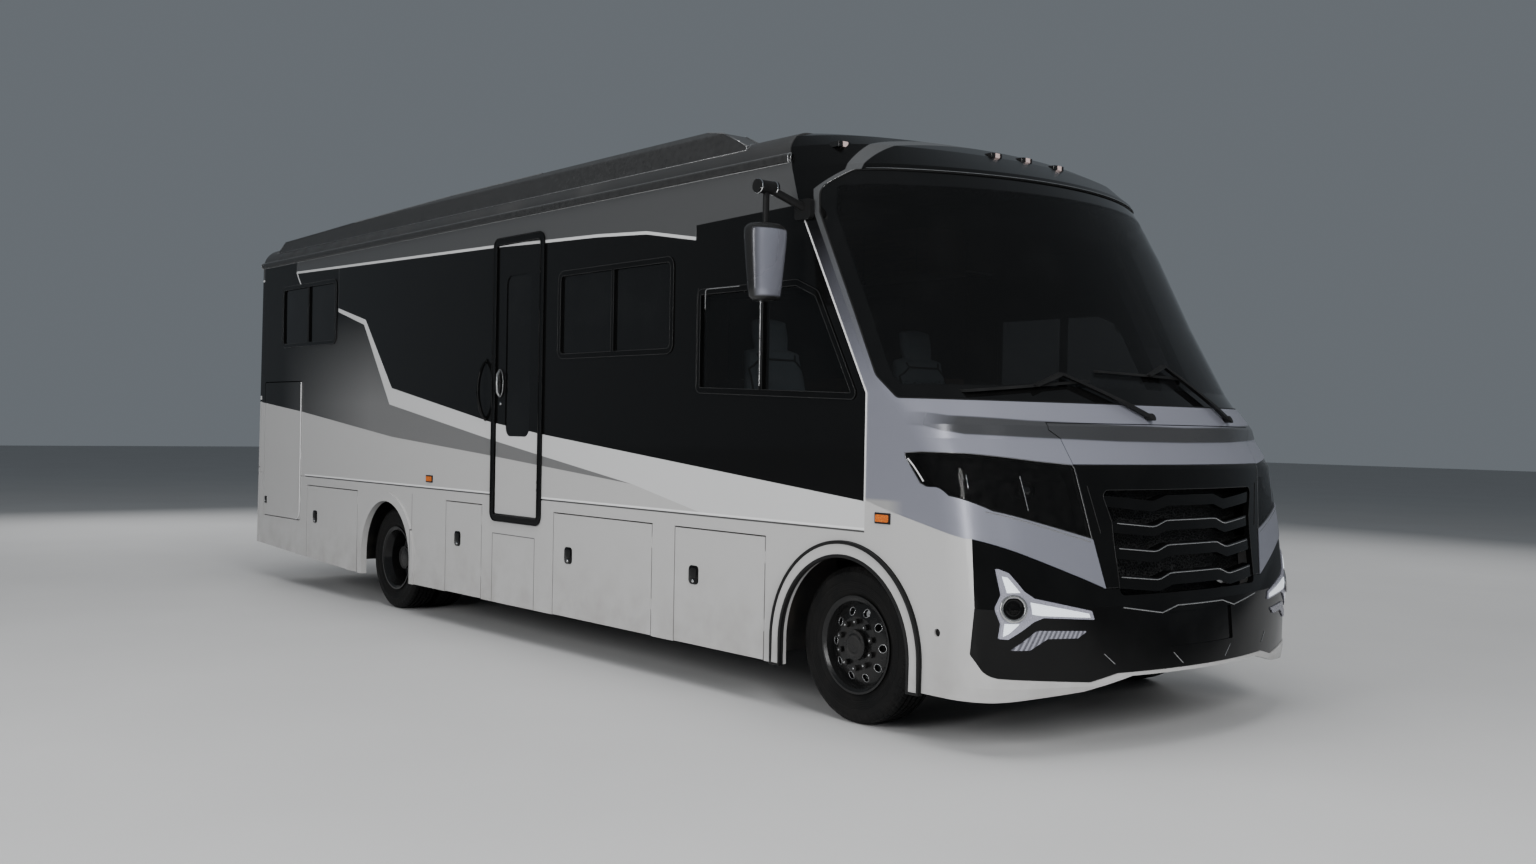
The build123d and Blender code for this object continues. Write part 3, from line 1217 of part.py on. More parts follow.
def make_springs(axle_x, seat_z, eye_z):
    """Leaf springs of one axle, with the blocks that meet the rails."""
    springs = []
    long = SPRING_HALF_LONG
    flat = SPRING_SEAT_HALF
    side_outline = sharp([
        (axle_x - long, eye_z),
        (axle_x - flat, seat_z),
        (axle_x + flat, seat_z),
        (axle_x + long, eye_z),
        (axle_x + long, eye_z + 30),
        (axle_x + flat, seat_z + SPRING_LEAVES),
        (axle_x - flat, seat_z + SPRING_LEAVES),
        (axle_x - long, eye_z + 30),
    ])
    for side in (-1, 1):
        near = side * SPRING_Y - SPRING_HALF_WIDE
        far = side * SPRING_Y + SPRING_HALF_WIDE
        spring = side_view(side_outline, near, far)
        for end in (-1, 1):
            shackle = (axle_x + end * (long - 40), axle_x + end * long)
            spring = joined(spring, block(*shackle, near, far, eye_z + 5, RAIL_LOW))
        springs.append(spring)
    return springs


def make_knuckle(side, word):
    """A steering knuckle: its pin, two ears, plate and spindle."""
    x = FRONT_AXLE_X
    centre = (x, side * KINGPIN_Y)
    knuckle = rod((*centre, AXLE_Z - KINGPIN_HALF), (*centre, AXLE_Z + KINGPIN_HALF), KINGPIN_RADIUS)
    plate_near = side * (KINGPIN_Y + 48)
    plate_far = side * (KINGPIN_Y + 68)
    for end in (-1, 1):
        near = AXLE_Z + end * (KINGPIN_EYE_HALF + SEAT_GAP)
        far = AXLE_Z + end * KINGPIN_HALF
        ear = rod((*centre, near), (*centre, far), KINGPIN_EYE_RADIUS)
        arm = block(x - 38, x + 38, side * KINGPIN_Y, plate_near, near, far)
        knuckle = joined(knuckle, ear, arm)
    plate = block(x - 60, x + 60, plate_near, plate_far, AXLE_Z - KINGPIN_HALF, AXLE_Z + KINGPIN_HALF)
    spindle = rod((x, plate_near, AXLE_Z), (x, side * (WHEEL_Y + 42), AXLE_Z), SPINDLE_RADIUS)
    keep(f"knuckle_{word}", joined(knuckle, plate, spindle))


def turned(points, axle_x, side):
    """A ring turned about an axle, from points (distance from the centre plane, radius)."""
    face = outline(sharp(points), lambda p: Vector(axle_x, side * p.X, AXLE_Z + p.Y))
    axis = Axis((axle_x, 0, AXLE_Z), (0, 1, 0))
    return revolve(face, axis)


def tyre_outline(y):
    """Half section of a tyre round its own middle plane, from bead to bead."""
    half = TYRE_WIDTH / 2
    bead = RIM_SEAT_RADIUS + SEAT_GAP
    wall = [
        # out from the middle plane, radius
        (84.0, bead),
        (86.0, 240.0),
        (half - 6, 268.0),
        (half, 305.0),
        (half - 5, 350.0),
        (half - 22, TYRE_RADIUS - 5),
        (60.0, TYRE_RADIUS),
    ]
    tread = []
    for step in (1.5, 0.5, -0.5, -1.5):
        middle = -step * TREAD_PITCH
        for edge in (-TREAD_GROOVE / 2, TREAD_GROOVE / 2):
            top = (middle + edge, TYRE_RADIUS)
            foot = (middle + edge, TYRE_RADIUS - TREAD_DEPTH)
            tread += [top, foot] if edge < 0 else [foot, top]
    points = [(-out, radius) for out, radius in wall] + tread + [(out, radius) for out, radius in reversed(wall)]
    return [(y + out, radius) for out, radius in points]


def rim_outline(y):
    """Section of a rim's barrel round its own middle plane."""
    half = RIM_WIDTH / 2
    lip = RIM_OUTER_RADIUS
    seat = RIM_SEAT_RADIUS
    well = RIM_WELL_RADIUS
    under = [(half, lip), (half, lip - 10), (88.0, seat - 10), (40.0, well)]
    over = [(half - 7, lip), (half - 10, seat), (50.0, seat - 4), (36.0, well + 10)]
    section = [(-out, radius) for out, radius in under] + [(out, radius) for out, radius in reversed(under)]
    section += over + [(-out, radius) for out, radius in reversed(over)]
    return [(y + out, radius) for out, radius in section]


def make_wheel(tyre_name, rim_name, axle_x, side, centres):
    """A tyre and rim, or a twin pair on one hub, with hand holes and nuts in the outer disc."""
    single = len(centres) == 1
    rim = None
    for place, y in enumerate(centres):
        keep(tyre_name, turned(tyre_outline(y), axle_x, side))
        if single:
            nut_y = y + 78
            disc = [(y + 55, 200), (nut_y, 134), (nut_y, 40), (nut_y - DISC_THICK, 40), (nut_y - DISC_THICK, 128), (y + 38, 196)]
        else:
            nut_y = WHEEL_Y - TWIN_SPACING / 2
            near = nut_y - place * DISC_THICK
            edge = y - 66 + place * 120
            flat = 140
            disc = [(edge, 200), (near, flat), (near, 40), (near + DISC_THICK, 40), (near + DISC_THICK, flat), (edge + 12, 200)]
            if place == 0:
                nut_y += DISC_THICK
                outer_nut_y = nut_y
        piece = joined(turned(rim_outline(y), axle_x, side), turned(disc, axle_x, side))
        for step in range(HAND_HOLES):
            angle = 2 * pi * step / HAND_HOLES
            x = axle_x + HAND_HOLE_CIRCLE * cos(angle)
            z = AXLE_Z + HAND_HOLE_CIRCLE * sin(angle)
            piece = piece - rod((x, side * (y - RIM_WIDTH), z), (x, side * (y + RIM_WIDTH), z), HAND_HOLE_RADIUS)
        rim = piece if rim is None else joined(rim, piece)
    if not single:
        nut_y = outer_nut_y
    for step in range(NUTS):
        angle = 2 * pi * (step + 0.5) / NUTS
        x = axle_x + NUT_CIRCLE * cos(angle)
        z = AXLE_Z + NUT_CIRCLE * sin(angle)
        rim = joined(rim, rod((x, side * (nut_y - 1), z), (x, side * (nut_y + NUT_HEIGHT), z), NUT_RADIUS))
    if single:
        hub = rod((axle_x, side * 1030, AXLE_Z), (axle_x, side * 1150, AXLE_Z), 72)
        bore = rod((axle_x, side * 1020, AXLE_Z), (axle_x, side * 1092, AXLE_Z), SPINDLE_RADIUS + PIN_CLEARANCE)
    else:
        hub = rod((axle_x, side * 700, AXLE_Z), (axle_x, side * 1080, AXLE_Z), 84)
        bore = rod((axle_x, side * 650, AXLE_Z), (axle_x, side * 1042, AXLE_Z), SPINDLE_RADIUS + PIN_CLEARANCE)
    keep(rim_name, joined(rim, hub) - bore)


def ellipse(x, y, z, half_wide, half_deep):
    """A level ellipse, wide across the vehicle."""
    return Wire.make_ellipse(half_wide, half_deep, Plane(origin=(x, y, z), x_dir=(0, 1, 0), z_dir=(0, 0, 1)))


def nose_at(surface, y, z):
    """The point of a nose block straight ahead of a place across and up."""
    probe = common(surface, block(BLOCK_REAR_X, NOSE_X, y - 1, y + 1, z - 1, z + 1))
    return Vector(probe.bounding_box().max.X, y, z)


def strip(start, end, wide_start, wide_end):
    """A straight bar's outline in front view, from one place (across, up) to another."""
    line = Vector(end[0] - start[0], end[1] - start[1], 0).normalized()
    first = Vector(-line.Y, line.X, 0) * (wide_start / 2)
    last = Vector(-line.Y, line.X, 0) * (wide_end / 2)
    return sharp([
        (start[0] - first.X, start[1] - first.Y),
        (end[0] - last.X, end[1] - last.Y),
        (end[0] + last.X, end[1] + last.Y),
        (start[0] + first.X, start[1] + first.Y),
    ])


def make_wipers():
    """Two wipers that follow the glass: a pivot on the cap, a bent arm and a blade."""
    skin = nose_block(-SEAT_GAP, 1300, 3000)
    glass = nose_block(GLASS_INSET - SEAT_GAP, 1300, 3000)
    blade_layer = nose_block(-BLADE_PROUD, 1300, 3000) - glass
    arm_layer = nose_block(-ARM_PROUD, 1300, 3000) - nose_block(-ARM_FOOT, 1300, 3000)
    post_layer = nose_block(-PIVOT_PROUD, 1300, 3000) - skin
    for pivot_y, elbow_y, elbow_z, outer_y, outer_z, inner_y, inner_z in WIPERS:
        pivot = (pivot_y, PIVOT_Z)
        elbow = (elbow_y, elbow_z)
        middle = ((outer_y + inner_y) / 2, (outer_z + inner_z) / 2)
        post = common(post_layer, rod((FRONT_ZONE_X, *pivot), (NOSE_X, *pivot), PIVOT_RADIUS))
        lower = common(arm_layer, on_nose(strip(pivot, elbow, 22, 14)))
        upper = common(arm_layer, on_nose(strip(elbow, middle, 14, 10)))
        blade = common(blade_layer, on_nose(strip((outer_y, outer_z), (inner_y, inner_z), BLADE_WIDE, BLADE_WIDE)))
        keep("wipers", joined(post, lower, upper, blade))


def make_fittings():
    """Mirrors and marker lamps, and the wipers."""
    mirror_x = 2950.0
    sections = (
        # height, half width, half depth
        (2036.0, 62.0, 42.0),
        (2056.0, 86.0, 58.0),
        (2200.0, 101.0, 70.0),
        (2330.0, 113.0, 79.0),
        (2371.0, 115.0, 80.0),
        (2400.0, 102.0, 70.0),
        (2412.0, 78.0, 52.0),
    )
    arm_z = 2590.0
    for side in (-1, 1):
        y = side * 1450.0
        keep("mirror_heads", Solid.make_loft([ellipse(mirror_x, y, z, wide, deep) for z, wide, deep in sections], True))
        root = (mirror_x + 40, side * (HALF_WIDTH - 10), 2500.0)
        arm = joined(
            rod((mirror_x, y, sections[-1][0]), (mirror_x, y, arm_z), 16),
            rod((mirror_x, y - side * 62, arm_z), (mirror_x, y + side * 62, arm_z), 32),
            rod((mirror_x, y, arm_z), root, 20),
            side_view(rectangle(root[0] - 60, root[0] + 60, 2450, 2550, 20), side * HALF_WIDTH, side * (HALF_WIDTH + 26)),
        )
        keep("mirror_arms", minus(arm, body_prism(0, 0, NOSE_X, SKIRT_BOTTOM)))

    make_wipers()
    for side in (-1, 1):
        for x, z in ((-1059.0, 1007.0), (3569.0, 1008.0)):
            corners = rectangle(x - 42, x + 42, z - 17, z + 17, 8)
            keep("marker_lamps", side_view(corners, side * HALF_WIDTH, side * (HALF_WIDTH + 10)))
    roof = nose_block(0, 2500, 3000)
    for y, z in BROW_LAMPS:
        ahead = nose_at(roof, y, z).X
        lamp = plan_view(rectangle(ahead - 70, ahead + 12, y - 42, y + 42, 12), z - 10, z + 16)
        keep("marker_lamps", lamp - roof)


def main():
    """Builds every piece and writes one file for each node."""
    make_nose()
    make_sides()
    make_rear()
    make_roof()
    make_floor()
    make_chassis()
    make_axles()
    make_fittings()
    os.makedirs("parts", exist_ok=True)
    for name, solids in NODES.items():
        export_step(Compound(solids), f"parts/{name}.step")


main()
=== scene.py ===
from math import cos, pi, radians, sin

import bmesh
import bpy
from mathutils import Matrix, Vector
from mathutils.bvhtree import BVHTree


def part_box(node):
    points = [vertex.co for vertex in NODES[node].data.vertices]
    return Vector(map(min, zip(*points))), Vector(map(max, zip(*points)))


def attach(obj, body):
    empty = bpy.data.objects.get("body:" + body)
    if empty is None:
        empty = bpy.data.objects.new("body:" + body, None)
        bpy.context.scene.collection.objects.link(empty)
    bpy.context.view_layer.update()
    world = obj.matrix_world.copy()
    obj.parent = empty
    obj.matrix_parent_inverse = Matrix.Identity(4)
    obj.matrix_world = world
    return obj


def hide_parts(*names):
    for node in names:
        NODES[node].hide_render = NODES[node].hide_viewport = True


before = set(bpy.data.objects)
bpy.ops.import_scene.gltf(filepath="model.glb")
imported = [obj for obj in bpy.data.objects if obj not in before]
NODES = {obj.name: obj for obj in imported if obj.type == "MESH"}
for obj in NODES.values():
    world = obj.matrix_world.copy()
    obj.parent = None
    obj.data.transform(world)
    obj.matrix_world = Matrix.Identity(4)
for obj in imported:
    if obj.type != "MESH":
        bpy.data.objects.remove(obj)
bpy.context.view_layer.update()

SIDES = (("left", 1), ("right", -1))
HALF_WIDTH = 1.225
AXLE_Z = 0.380
FRONT_AXLE_X = 3.310
REAR_AXLE_X = -1.760


class Tint:
    """A socket in a material: sums on it add Math nodes, and node() adds any other node."""

    def __init__(self, tree, socket):
        self.tree = tree
        self.socket = socket

    def node(self, kind, settings, sockets, output=0):
        """Any node, from its settings and then the values or links of its sockets."""
        made = self.tree.nodes.new("ShaderNode" + kind)
        for name, value in settings.items():
            setattr(made, name, value)
        for name, value in sockets.items():
            if isinstance(value, Tint):
                self.tree.links.new(value.socket, made.inputs[name])
            else:
                made.inputs[name].default_value = value
        return Tint(self.tree, made.outputs[output])

    def math(self, operation, first, second=0.0):
        """A Math node on two values."""
        return self.node("Math", {"operation": operation}, {0: first, 1: second})

    def __add__(self, other):
        return self.math("ADD", self, other)

    def __sub__(self, other):
        return self.math("SUBTRACT", self, other)

    def __rsub__(self, other):
        return self.math("SUBTRACT", other, self)

    def __mul__(self, other):
        return self.math("MULTIPLY", self, other)

    def __truediv__(self, other):
        return self.math("DIVIDE", self, other)

    __radd__ = __add__
    __rmul__ = __mul__

    def size(self):
        """The number without its sign."""
        return self.math("ABSOLUTE", self)

    def sine(self):
        return self.math("SINE", self)

    def highest(self, other):
        return self.math("MAXIMUM", self, other)

    def ramp(self, start, end, low=0.0, high=1.0):
        """Goes from low to high as this goes from start to end."""
        return self.node("MapRange", {}, {0: self, 1: start, 2: end, 3: low, 4: high})

    def above(self, soft=0.001):
        """1 where this is over 0, and 0 where it is under."""
        return self.ramp(-soft, soft)

    def line(self, points):
        """The height of a bent line at this place along it."""
        total = points[0][1]
        for (start, low), (end, high) in zip(points, points[1:]):
            total = total + self.ramp(start, end, 0.0, high - low)
        return total

    def near(self, middle, half, soft=0.002):
        """1 within half of a middle, and 0 further off."""
        return (self - middle).size().ramp(half + soft, half, 0.0, 1.0)

    def between(self, dark, light):
        """A colour from dark, where this is 0, to light, where it is 1."""
        return self.node("Mix", {"data_type": "RGBA"}, {0: self, 6: dark, 7: light}, 2)

    def noise(self, scale, detail=2.0, rough=0.5):
        """Cloudy noise, on a place."""
        sockets = {"Vector": self, "Scale": scale, "Detail": detail, "Roughness": rough}
        return self.node("TexNoise", {}, sockets)

    def cells(self, scale, feature="F1"):
        """Distance to the nearest of scattered points, on a place."""
        return self.node("TexVoronoi", {"feature": feature}, {"Vector": self, "Scale": scale})

    def stretched(self, along, across, up):
        """A place scaled differently in each direction."""
        return self.node("Mapping", {}, {"Vector": self, "Scale": (along, across, up)})

    def bump(self, distance, strength=1.0):
        """A surface raised by this height."""
        return self.node("Bump", {}, {"Height": self, "Distance": distance, "Strength": strength})


def grey(level, warmth=0.0):
    """A near-grey colour, a little warmer or cooler."""
    return (level * (1 + warmth), level, level * (1 - warmth), 1.0)


def surface(colour, rough, normal, **more):
    """What a look gives: the sockets that every material varies, and any others."""
    return {"Base Color": colour, "Roughness": rough, "Normal": normal, **more}


def finish(name, look, **constants):
    """A material; look(place, x, y, z) gives what changes over the surface, socket by socket."""
    made = bpy.data.materials.new(name)
    made.use_nodes = True
    tree = made.node_tree
    shader = next(node for node in tree.nodes if node.type == "BSDF_PRINCIPLED")
    for socket, value in constants.items():
        shader.inputs[socket.replace("_", " ")].default_value = value
    place = Tint(tree, tree.nodes.new("ShaderNodeTexCoord").outputs["Object"])
    split = tree.nodes.new("ShaderNodeSeparateXYZ")
    tree.links.new(place.socket, split.inputs[0])
    x, y, z = (Tint(tree, output) for output in split.outputs)
    for socket, value in look(place, x, y, z).items():
        tree.links.new(value.socket, shader.inputs[socket.replace("_", " ")])
    return made


# Paint lines on the sides, as places (along, up) from the rear to the front
STRIPE = ((-4.5, 2.80), (-3.625, 2.80), (-3.612, 2.673), (-0.132, 2.599), (0.516, 2.574), (1.097, 2.555),
          (1.608, 2.525), (2.081, 2.449), (2.084, 2.512), (2.479, 2.522), (2.937, 2.532))
STRIPE_REAR, STRIPE_FRONT = -3.615, 2.084
# The stripe's rear end turns up, as places (up, along)
STRIPE_TAIL = ((2.560, -3.521), (2.664, -3.612))
HOOK_REAR = -2.722
HOOK = ((-2.720, 2.314), (-2.195, 2.197), (-1.709, 1.662), (-0.196, 1.423), (0.454, 1.353), (3.446, 1.080))
BAND = ((-2.720, 2.284), (-2.222, 2.160), (-1.743, 1.540), (-0.192, 1.307), (0.431, 1.222), (1.502, 1.079),
        (2.200, 0.945))
GREY_FOOT = ((-4.500, 1.571), (-3.433, 1.477), (-1.696, 1.296), (-0.188, 1.198), (0.433, 1.154),
             (1.502, 1.079), (2.200, 0.945))

# Painted highlight along the belt line of the sides, and the panel joints of the step cover and the skirt
BELT_REAR, BELT_HIGHLIGHT_RISE, BELT_SEAM_RISE = -3.370, 0.949, 0.938
DOOR_X, DOOR_HALF = 0.172, 0.30
COVER_REAR, COVER_FRONT, COVER_X, COVER_HALF, COVER_TOP = -0.129, 0.417, 0.144, 0.273, 0.685
SKIRT_JOINT_X, SKIRT_JOINT_TOP = -1.334, 0.889

SILVER_WHITE = grey(0.39, 0.01)
STRIPE_WHITE = grey(0.50)
NOSE_SILVER = (0.225, 0.230, 0.275, 1.0)
ROAD_GREY = (0.17, 0.15, 0.13, 1.0)
GRAPHITE = grey(0.054, -0.02)
STRIPE_GREY = grey(0.135)
DEEP_BLACK = grey(0.0035)


def road_dust(place, z):
    """Where dust thrown up by the wheels dulls the paint."""
    return z.ramp(0.75, 0.25) * place.noise(7.0, 5.0).ramp(0.35, 0.8)


def peel(place):
    """The fine grain and slow ripple of sprayed paint."""
    return place.noise(260.0, 1.0) * 0.25 + place.noise(1.6, 1.0) * 0.75


def side_look(place, x, y, z):
    """Silver-white below, black across the windows and graphite above, with a hooked band between."""
    above_stripe, above_hook, above_band, above_grey = (
        (z - x.line(edge)).above() for edge in (STRIPE, HOOK, BAND, GREY_FOOT))
    ahead_of_hook = x.ramp(HOOK_REAR, HOOK_REAR + 0.003)
    fade = x.ramp(-3.9, -2.1) * z.ramp(2.25, 1.55)
    dark = fade.highest(x.ramp(-2.0, -1.7)).between(DEEP_BLACK, STRIPE_GREY)
    colour = above_grey.between(SILVER_WHITE, dark)
    colour = (above_band * ahead_of_hook).between(colour, STRIPE_WHITE)
    black = above_hook * ahead_of_hook
    colour = black.between(colour, DEEP_BLACK)
    line = (z - x.line(STRIPE)).near(-0.009, 0.008)
    line = line * x.ramp(STRIPE_REAR, STRIPE_REAR + 0.004) * x.ramp(STRIPE_FRONT, STRIPE_FRONT - 0.002)
    tail = (x - z.line(STRIPE_TAIL)).near(0.0, 0.009) * z.near(2.612, 0.052)
    colour = above_stripe.between(colour, GRAPHITE)
    colour = line.highest(tail).between(colour, STRIPE_WHITE)
    starboard = y.ramp(0.01, -0.01)
    belt = x.ramp(BELT_REAR, BELT_REAR + 0.005) * (1 - x.near(DOOR_X, DOOR_HALF) * starboard)
    # Painted highlight: a pale line along the belt, over the dark seam just below it
    colour = (z.near(BELT_HIGHLIGHT_RISE, 0.005) * belt).between(colour, grey(0.66))
    dust = road_dust(place, z)
    cover = x.near(COVER_REAR, 0.002).highest(x.near(COVER_FRONT, 0.002))
    cover = cover * z.ramp(COVER_TOP + 0.002, COVER_TOP - 0.001)
    cover = cover.highest(z.near(COVER_TOP, 0.002) * x.near(COVER_X, COVER_HALF)) * starboard
    skirt_joint = x.near(SKIRT_JOINT_X, 0.002) * z.ramp(SKIRT_JOINT_TOP, SKIRT_JOINT_TOP - 0.004)
    seam = cover.highest(skirt_joint).highest(z.near(BELT_SEAM_RISE, 0.004) * belt)
    colour = (seam * 0.85).between(colour, grey(0.02))
    colour = (dust * 0.35).between(colour, ROAD_GREY)
    gloss = black.highest(above_stripe).ramp(0.0, 1.0, 0.30, 0.16)
    rough = dust * 0.3 + gloss + place.noise(2.2, 3.0) * 0.05
    return surface(colour, rough, (peel(place) - seam * 1.5).bump(0.0012, 0.25))


# Lines on the nose: places (across, up), and for the last two (up, fade) and (up, along)
STRIP_TOP = ((0.740, 0.552), (0.986, 0.562), (1.099, 0.478))
CREASE_TOP = ((0.0, 1.453), (0.434, 1.460), (0.878, 1.473), (1.159, 1.490), (1.204, 1.504))
CREASE_FOOT = ((0.0, 1.380), (0.436, 1.383), (0.898, 1.396), (1.142, 1.406), (1.192, 1.420), (1.221, 1.443))
BROW_FADE = ((1.60, 0.0), (1.95, 0.55), (2.40, 1.0))
PILLAR_REAR = ((1.548, 3.660), (1.672, 3.500), (2.480, 3.078), (2.600, 3.060), (2.690, 3.200))


def nose_look(place, x, y, z):
    """Metallic silver that darkens to black at the brow, with a band of painted shade in the crease under the
    windscreen.
    """
    across = y.size()
    # Painted shade: a dark band across the nose between the two crease lines
    band = (z - across.line(CREASE_FOOT)).above(0.004) * (across.line(CREASE_TOP) - z).above(0.004)
    band = band * x.ramp(3.70, 3.95)
    brow = z.line(BROW_FADE)
    colour = brow.between(NOSE_SILVER, grey(0.005))
    # A raised ridge along the rear edge of the pillar, painted lighter as a highlight where the brow is dark
    pillar_bead_highlight = (x - z.line(PILLAR_REAR)).near(0.0, 0.030, 0.004) * z.ramp(1.50, 1.58)
    colour = (pillar_bead_highlight * brow.ramp(0.0, 1.0, 0.0, 0.6)).between(colour, grey(0.14, -0.03))
    colour = (band * 0.93).between(colour, grey(0.022, -0.05))
    under = z.ramp(1.10, 1.085) * x.ramp(3.70, 3.60)
    colour = under.between(colour, SILVER_WHITE)
    flakes = place.cells(1400.0)
    colour = (flakes * (1 - brow) * 0.10).between(colour, grey(0.5))
    rough = brow.ramp(0.0, 1.0, 0.30, 0.20) + place.noise(2.2, 3.0) * 0.05 - band * 0.1
    return surface(colour, rough, (peel(place) + pillar_bead_highlight * 1.5).bump(0.0012, 0.3))


# The small hole on each side of the bumper, painted as a near-black disc of shade
HOLE_X, HOLE_Z = 3.926, 0.521


def bumper_look(place, x, y, z):
    """Silver-white bumper corners with a small hole in painted shade, and road dust low down."""
    dust = road_dust(place, z)
    from_hole = (x - HOLE_X) * (x - HOLE_X) + (z - HOLE_Z) * (z - HOLE_Z)
    # Painted shade: the hole is only a near-black disc on the bumper face
    hole = from_hole.ramp(0.00034, 0.00028)
    colour = hole.between((dust * 0.3).between(SILVER_WHITE, ROAD_GREY), grey(0.003))
    return surface(colour, dust * 0.3 + 0.28, peel(place).bump(0.0012, 0.25))


def rear_look(place, x, y, z):
    """The rear wall: graphite over black over silver-white, with pressed panel lines."""
    black = z.ramp(1.565, 1.567)
    top = z.ramp(2.650, 2.652)
    colour = top.between(black.between(SILVER_WHITE, DEEP_BLACK), GRAPHITE)
    line = z.near(1.600, 0.016).highest(z.near(2.642, 0.008))
    colour = line.between(colour, STRIPE_WHITE)
    dust = road_dust(place, z)
    colour = (dust * 0.4).between(colour, ROAD_GREY)
    joint = (y.size()).near(0.90, 0.004).highest(z.near(0.980, 0.004)).highest(z.near(2.500, 0.004))
    colour = (joint * 0.7).between(colour, grey(0.01))
    return surface(colour, dust * 0.3 + 0.22, (peel(place) - joint * 4.0).bump(0.0012, 0.35))


def roof_look(place, x, y, z):
    """Dark roof skin with shallow swages and dried rain marks."""
    swage = (y * 31.4).sine().ramp(0.5, 0.8)
    marks = place.noise(3.0, 6.0).ramp(0.45, 0.7)
    colour = (marks * 0.35).between(grey(0.022), grey(0.05))
    height = swage * 0.6 + place.noise(90.0, 2.0) * 0.15
    return surface(colour, marks * 0.25 + 0.34, height.bump(0.003, 0.4))


def gloss_look(place, x, y, z):
    """Polished black panel with faint wash marks."""
    marks = place.noise(5.0, 4.0).ramp(0.4, 0.8)
    colour = (marks * 0.3).between(grey(0.003), grey(0.007))
    return surface(colour, marks * 0.10 + 0.07, place.noise(1.8, 1.0).bump(0.0015, 0.25))


def moulded_look(place, x, y, z):
    """Moulded plastic with a fine leathery grain."""
    grain = place.cells(420.0, "SMOOTH_F1") * 0.6 + place.noise(900.0, 1.0) * 0.4
    wear = place.noise(11.0, 5.0).ramp(0.5, 0.8)
    colour = (wear * 0.4).between(grey(0.008), grey(0.020))
    return surface(colour, wear * 0.12 + 0.48, grain.bump(0.0006, 0.5))


def glazing(place, alpha):
    """Dark glass whose faint ripples and film show in its gloss."""
    film = place.noise(4.0, 5.0).ramp(0.45, 0.8)
    colour = (film * 0.5).between(grey(0.003), grey(0.006))
    ripples = place.noise(1.3, 1.0).bump(0.0008, 0.25)
    return surface(colour, film * 0.05 + 0.02, ripples, Alpha=alpha + film * 0.04)


def side_glass_look(place, x, y, z):
    """Side glass, clearer beside the driver."""
    return glazing(place, x.ramp(2.05, 2.10, 0.92, 0.52))


def windscreen_look(place, x, y, z):
    """Windscreen glass with a black printed border that fades out in dots."""
    side = (x - z.line(PILLAR_REAR)).ramp(0.12, 0.06)
    foot = z.ramp(1.655, 1.605)
    head = z.ramp(2.56, 2.66)
    edge = side.highest(foot).highest(head)
    dots = place.cells(85.0).ramp(0.30, 0.42, 1.0, 0.0)
    border = edge.ramp(0.45, 0.55).highest(edge.ramp(0.02, 0.5) * dots)
    return glazing(place, border.ramp(0.0, 1.0, 0.58, 1.0))


def chassis_look(place, x, y, z):
    """Black frame paint under dried road dirt."""
    dirt = place.noise(9.0, 7.0, 0.6).ramp(0.42, 0.68)
    colour = (dirt * 0.6).between(grey(0.018), (0.07, 0.06, 0.05, 1.0))
    return surface(colour, dirt * 0.3 + 0.45, place.noise(160.0, 3.0).bump(0.0015, 0.5))


def round_axle(x, z):
    """Distance from the nearer axle's line and the angle round it, for a wheel."""
    from_axle = x - x.ramp(0.0, 0.001, REAR_AXLE_X, FRONT_AXLE_X)
    up = z - AXLE_Z
    out = x.math("SQRT", from_axle * from_axle + up * up)
    return out, x.math("ARCTAN2", up, from_axle)


def tyre_look(place, x, y, z):
    """Rubber with tread sipes, shoulder blocks and rings on the walls."""
    out, angle = round_axle(x, z)
    tread = out.ramp(0.366, 0.372)
    sipe = (angle * 72.0 + y * 90.0).sine().ramp(0.55, 0.9)
    shoulder = (angle * 48.0).sine().ramp(-0.1, 0.2) * out.near(0.352, 0.012, 0.004)
    rings = (out * 620.0).sine().ramp(0.2, 0.9) * out.near(0.285, 0.022, 0.004)
    height = shoulder * 2.0 + rings * 0.8 - sipe * tread * 2.2 + place.noise(150.0, 2.0) * 0.3
    dust = place.noise(12.0, 5.0).ramp(0.4, 0.75)
    colour = (dust * 0.25).between(grey(0.004), (0.024, 0.022, 0.020, 1.0))
    return surface(colour, dust * 0.15 + 0.62, height.bump(0.0022, 0.8))


def wheel_look(place, x, y, z):
    """Satin black wheel paint, dusty near the hub."""
    out, _ = round_axle(x, z)
    dust = place.noise(20.0, 5.0).ramp(0.4, 0.75) * out.ramp(0.20, 0.10)
    colour = (dust * 0.4).between(grey(0.006), (0.035, 0.032, 0.029, 1.0))
    return surface(colour, dust * 0.3 + 0.24, place.noise(240.0, 2.0).bump(0.0006, 0.4))


def lens_look(alpha, low, high, ribs):
    """A clear or coloured lens with fine moulded ribs."""
    def look(place, x, y, z):
        cell = place.cells(ribs, "SMOOTH_F1")
        colour = cell.ramp(0.1, 0.7).between(low, high)
        return surface(colour, cell * 0.06 + 0.03, cell.bump(0.0012, 0.35), Alpha=cell * 0.05 + alpha)
    return look


# Distances across of the small lamps over the windscreen
BULBS = (0.0, 0.251, 1.072)


def marker_look(place, x, y, z):
    """Amber side markers, and small pale lenses in dark housings over the windscreen."""
    cell = place.cells(180.0, "SMOOTH_F1")
    amber = cell.ramp(0.1, 0.7).between((0.34, 0.06, 0.006, 1.0), (0.62, 0.16, 0.02, 1.0))
    middle, inner, outer = (y.size().near(across, 0.015, 0.004) for across in BULBS)
    pale = middle.highest(inner).highest(outer).between(grey(0.008), (0.55, 0.42, 0.40, 1.0))
    return surface(z.ramp(2.0, 2.1).between(amber, pale), cell * 0.06 + 0.08, cell.bump(0.0012, 0.35))


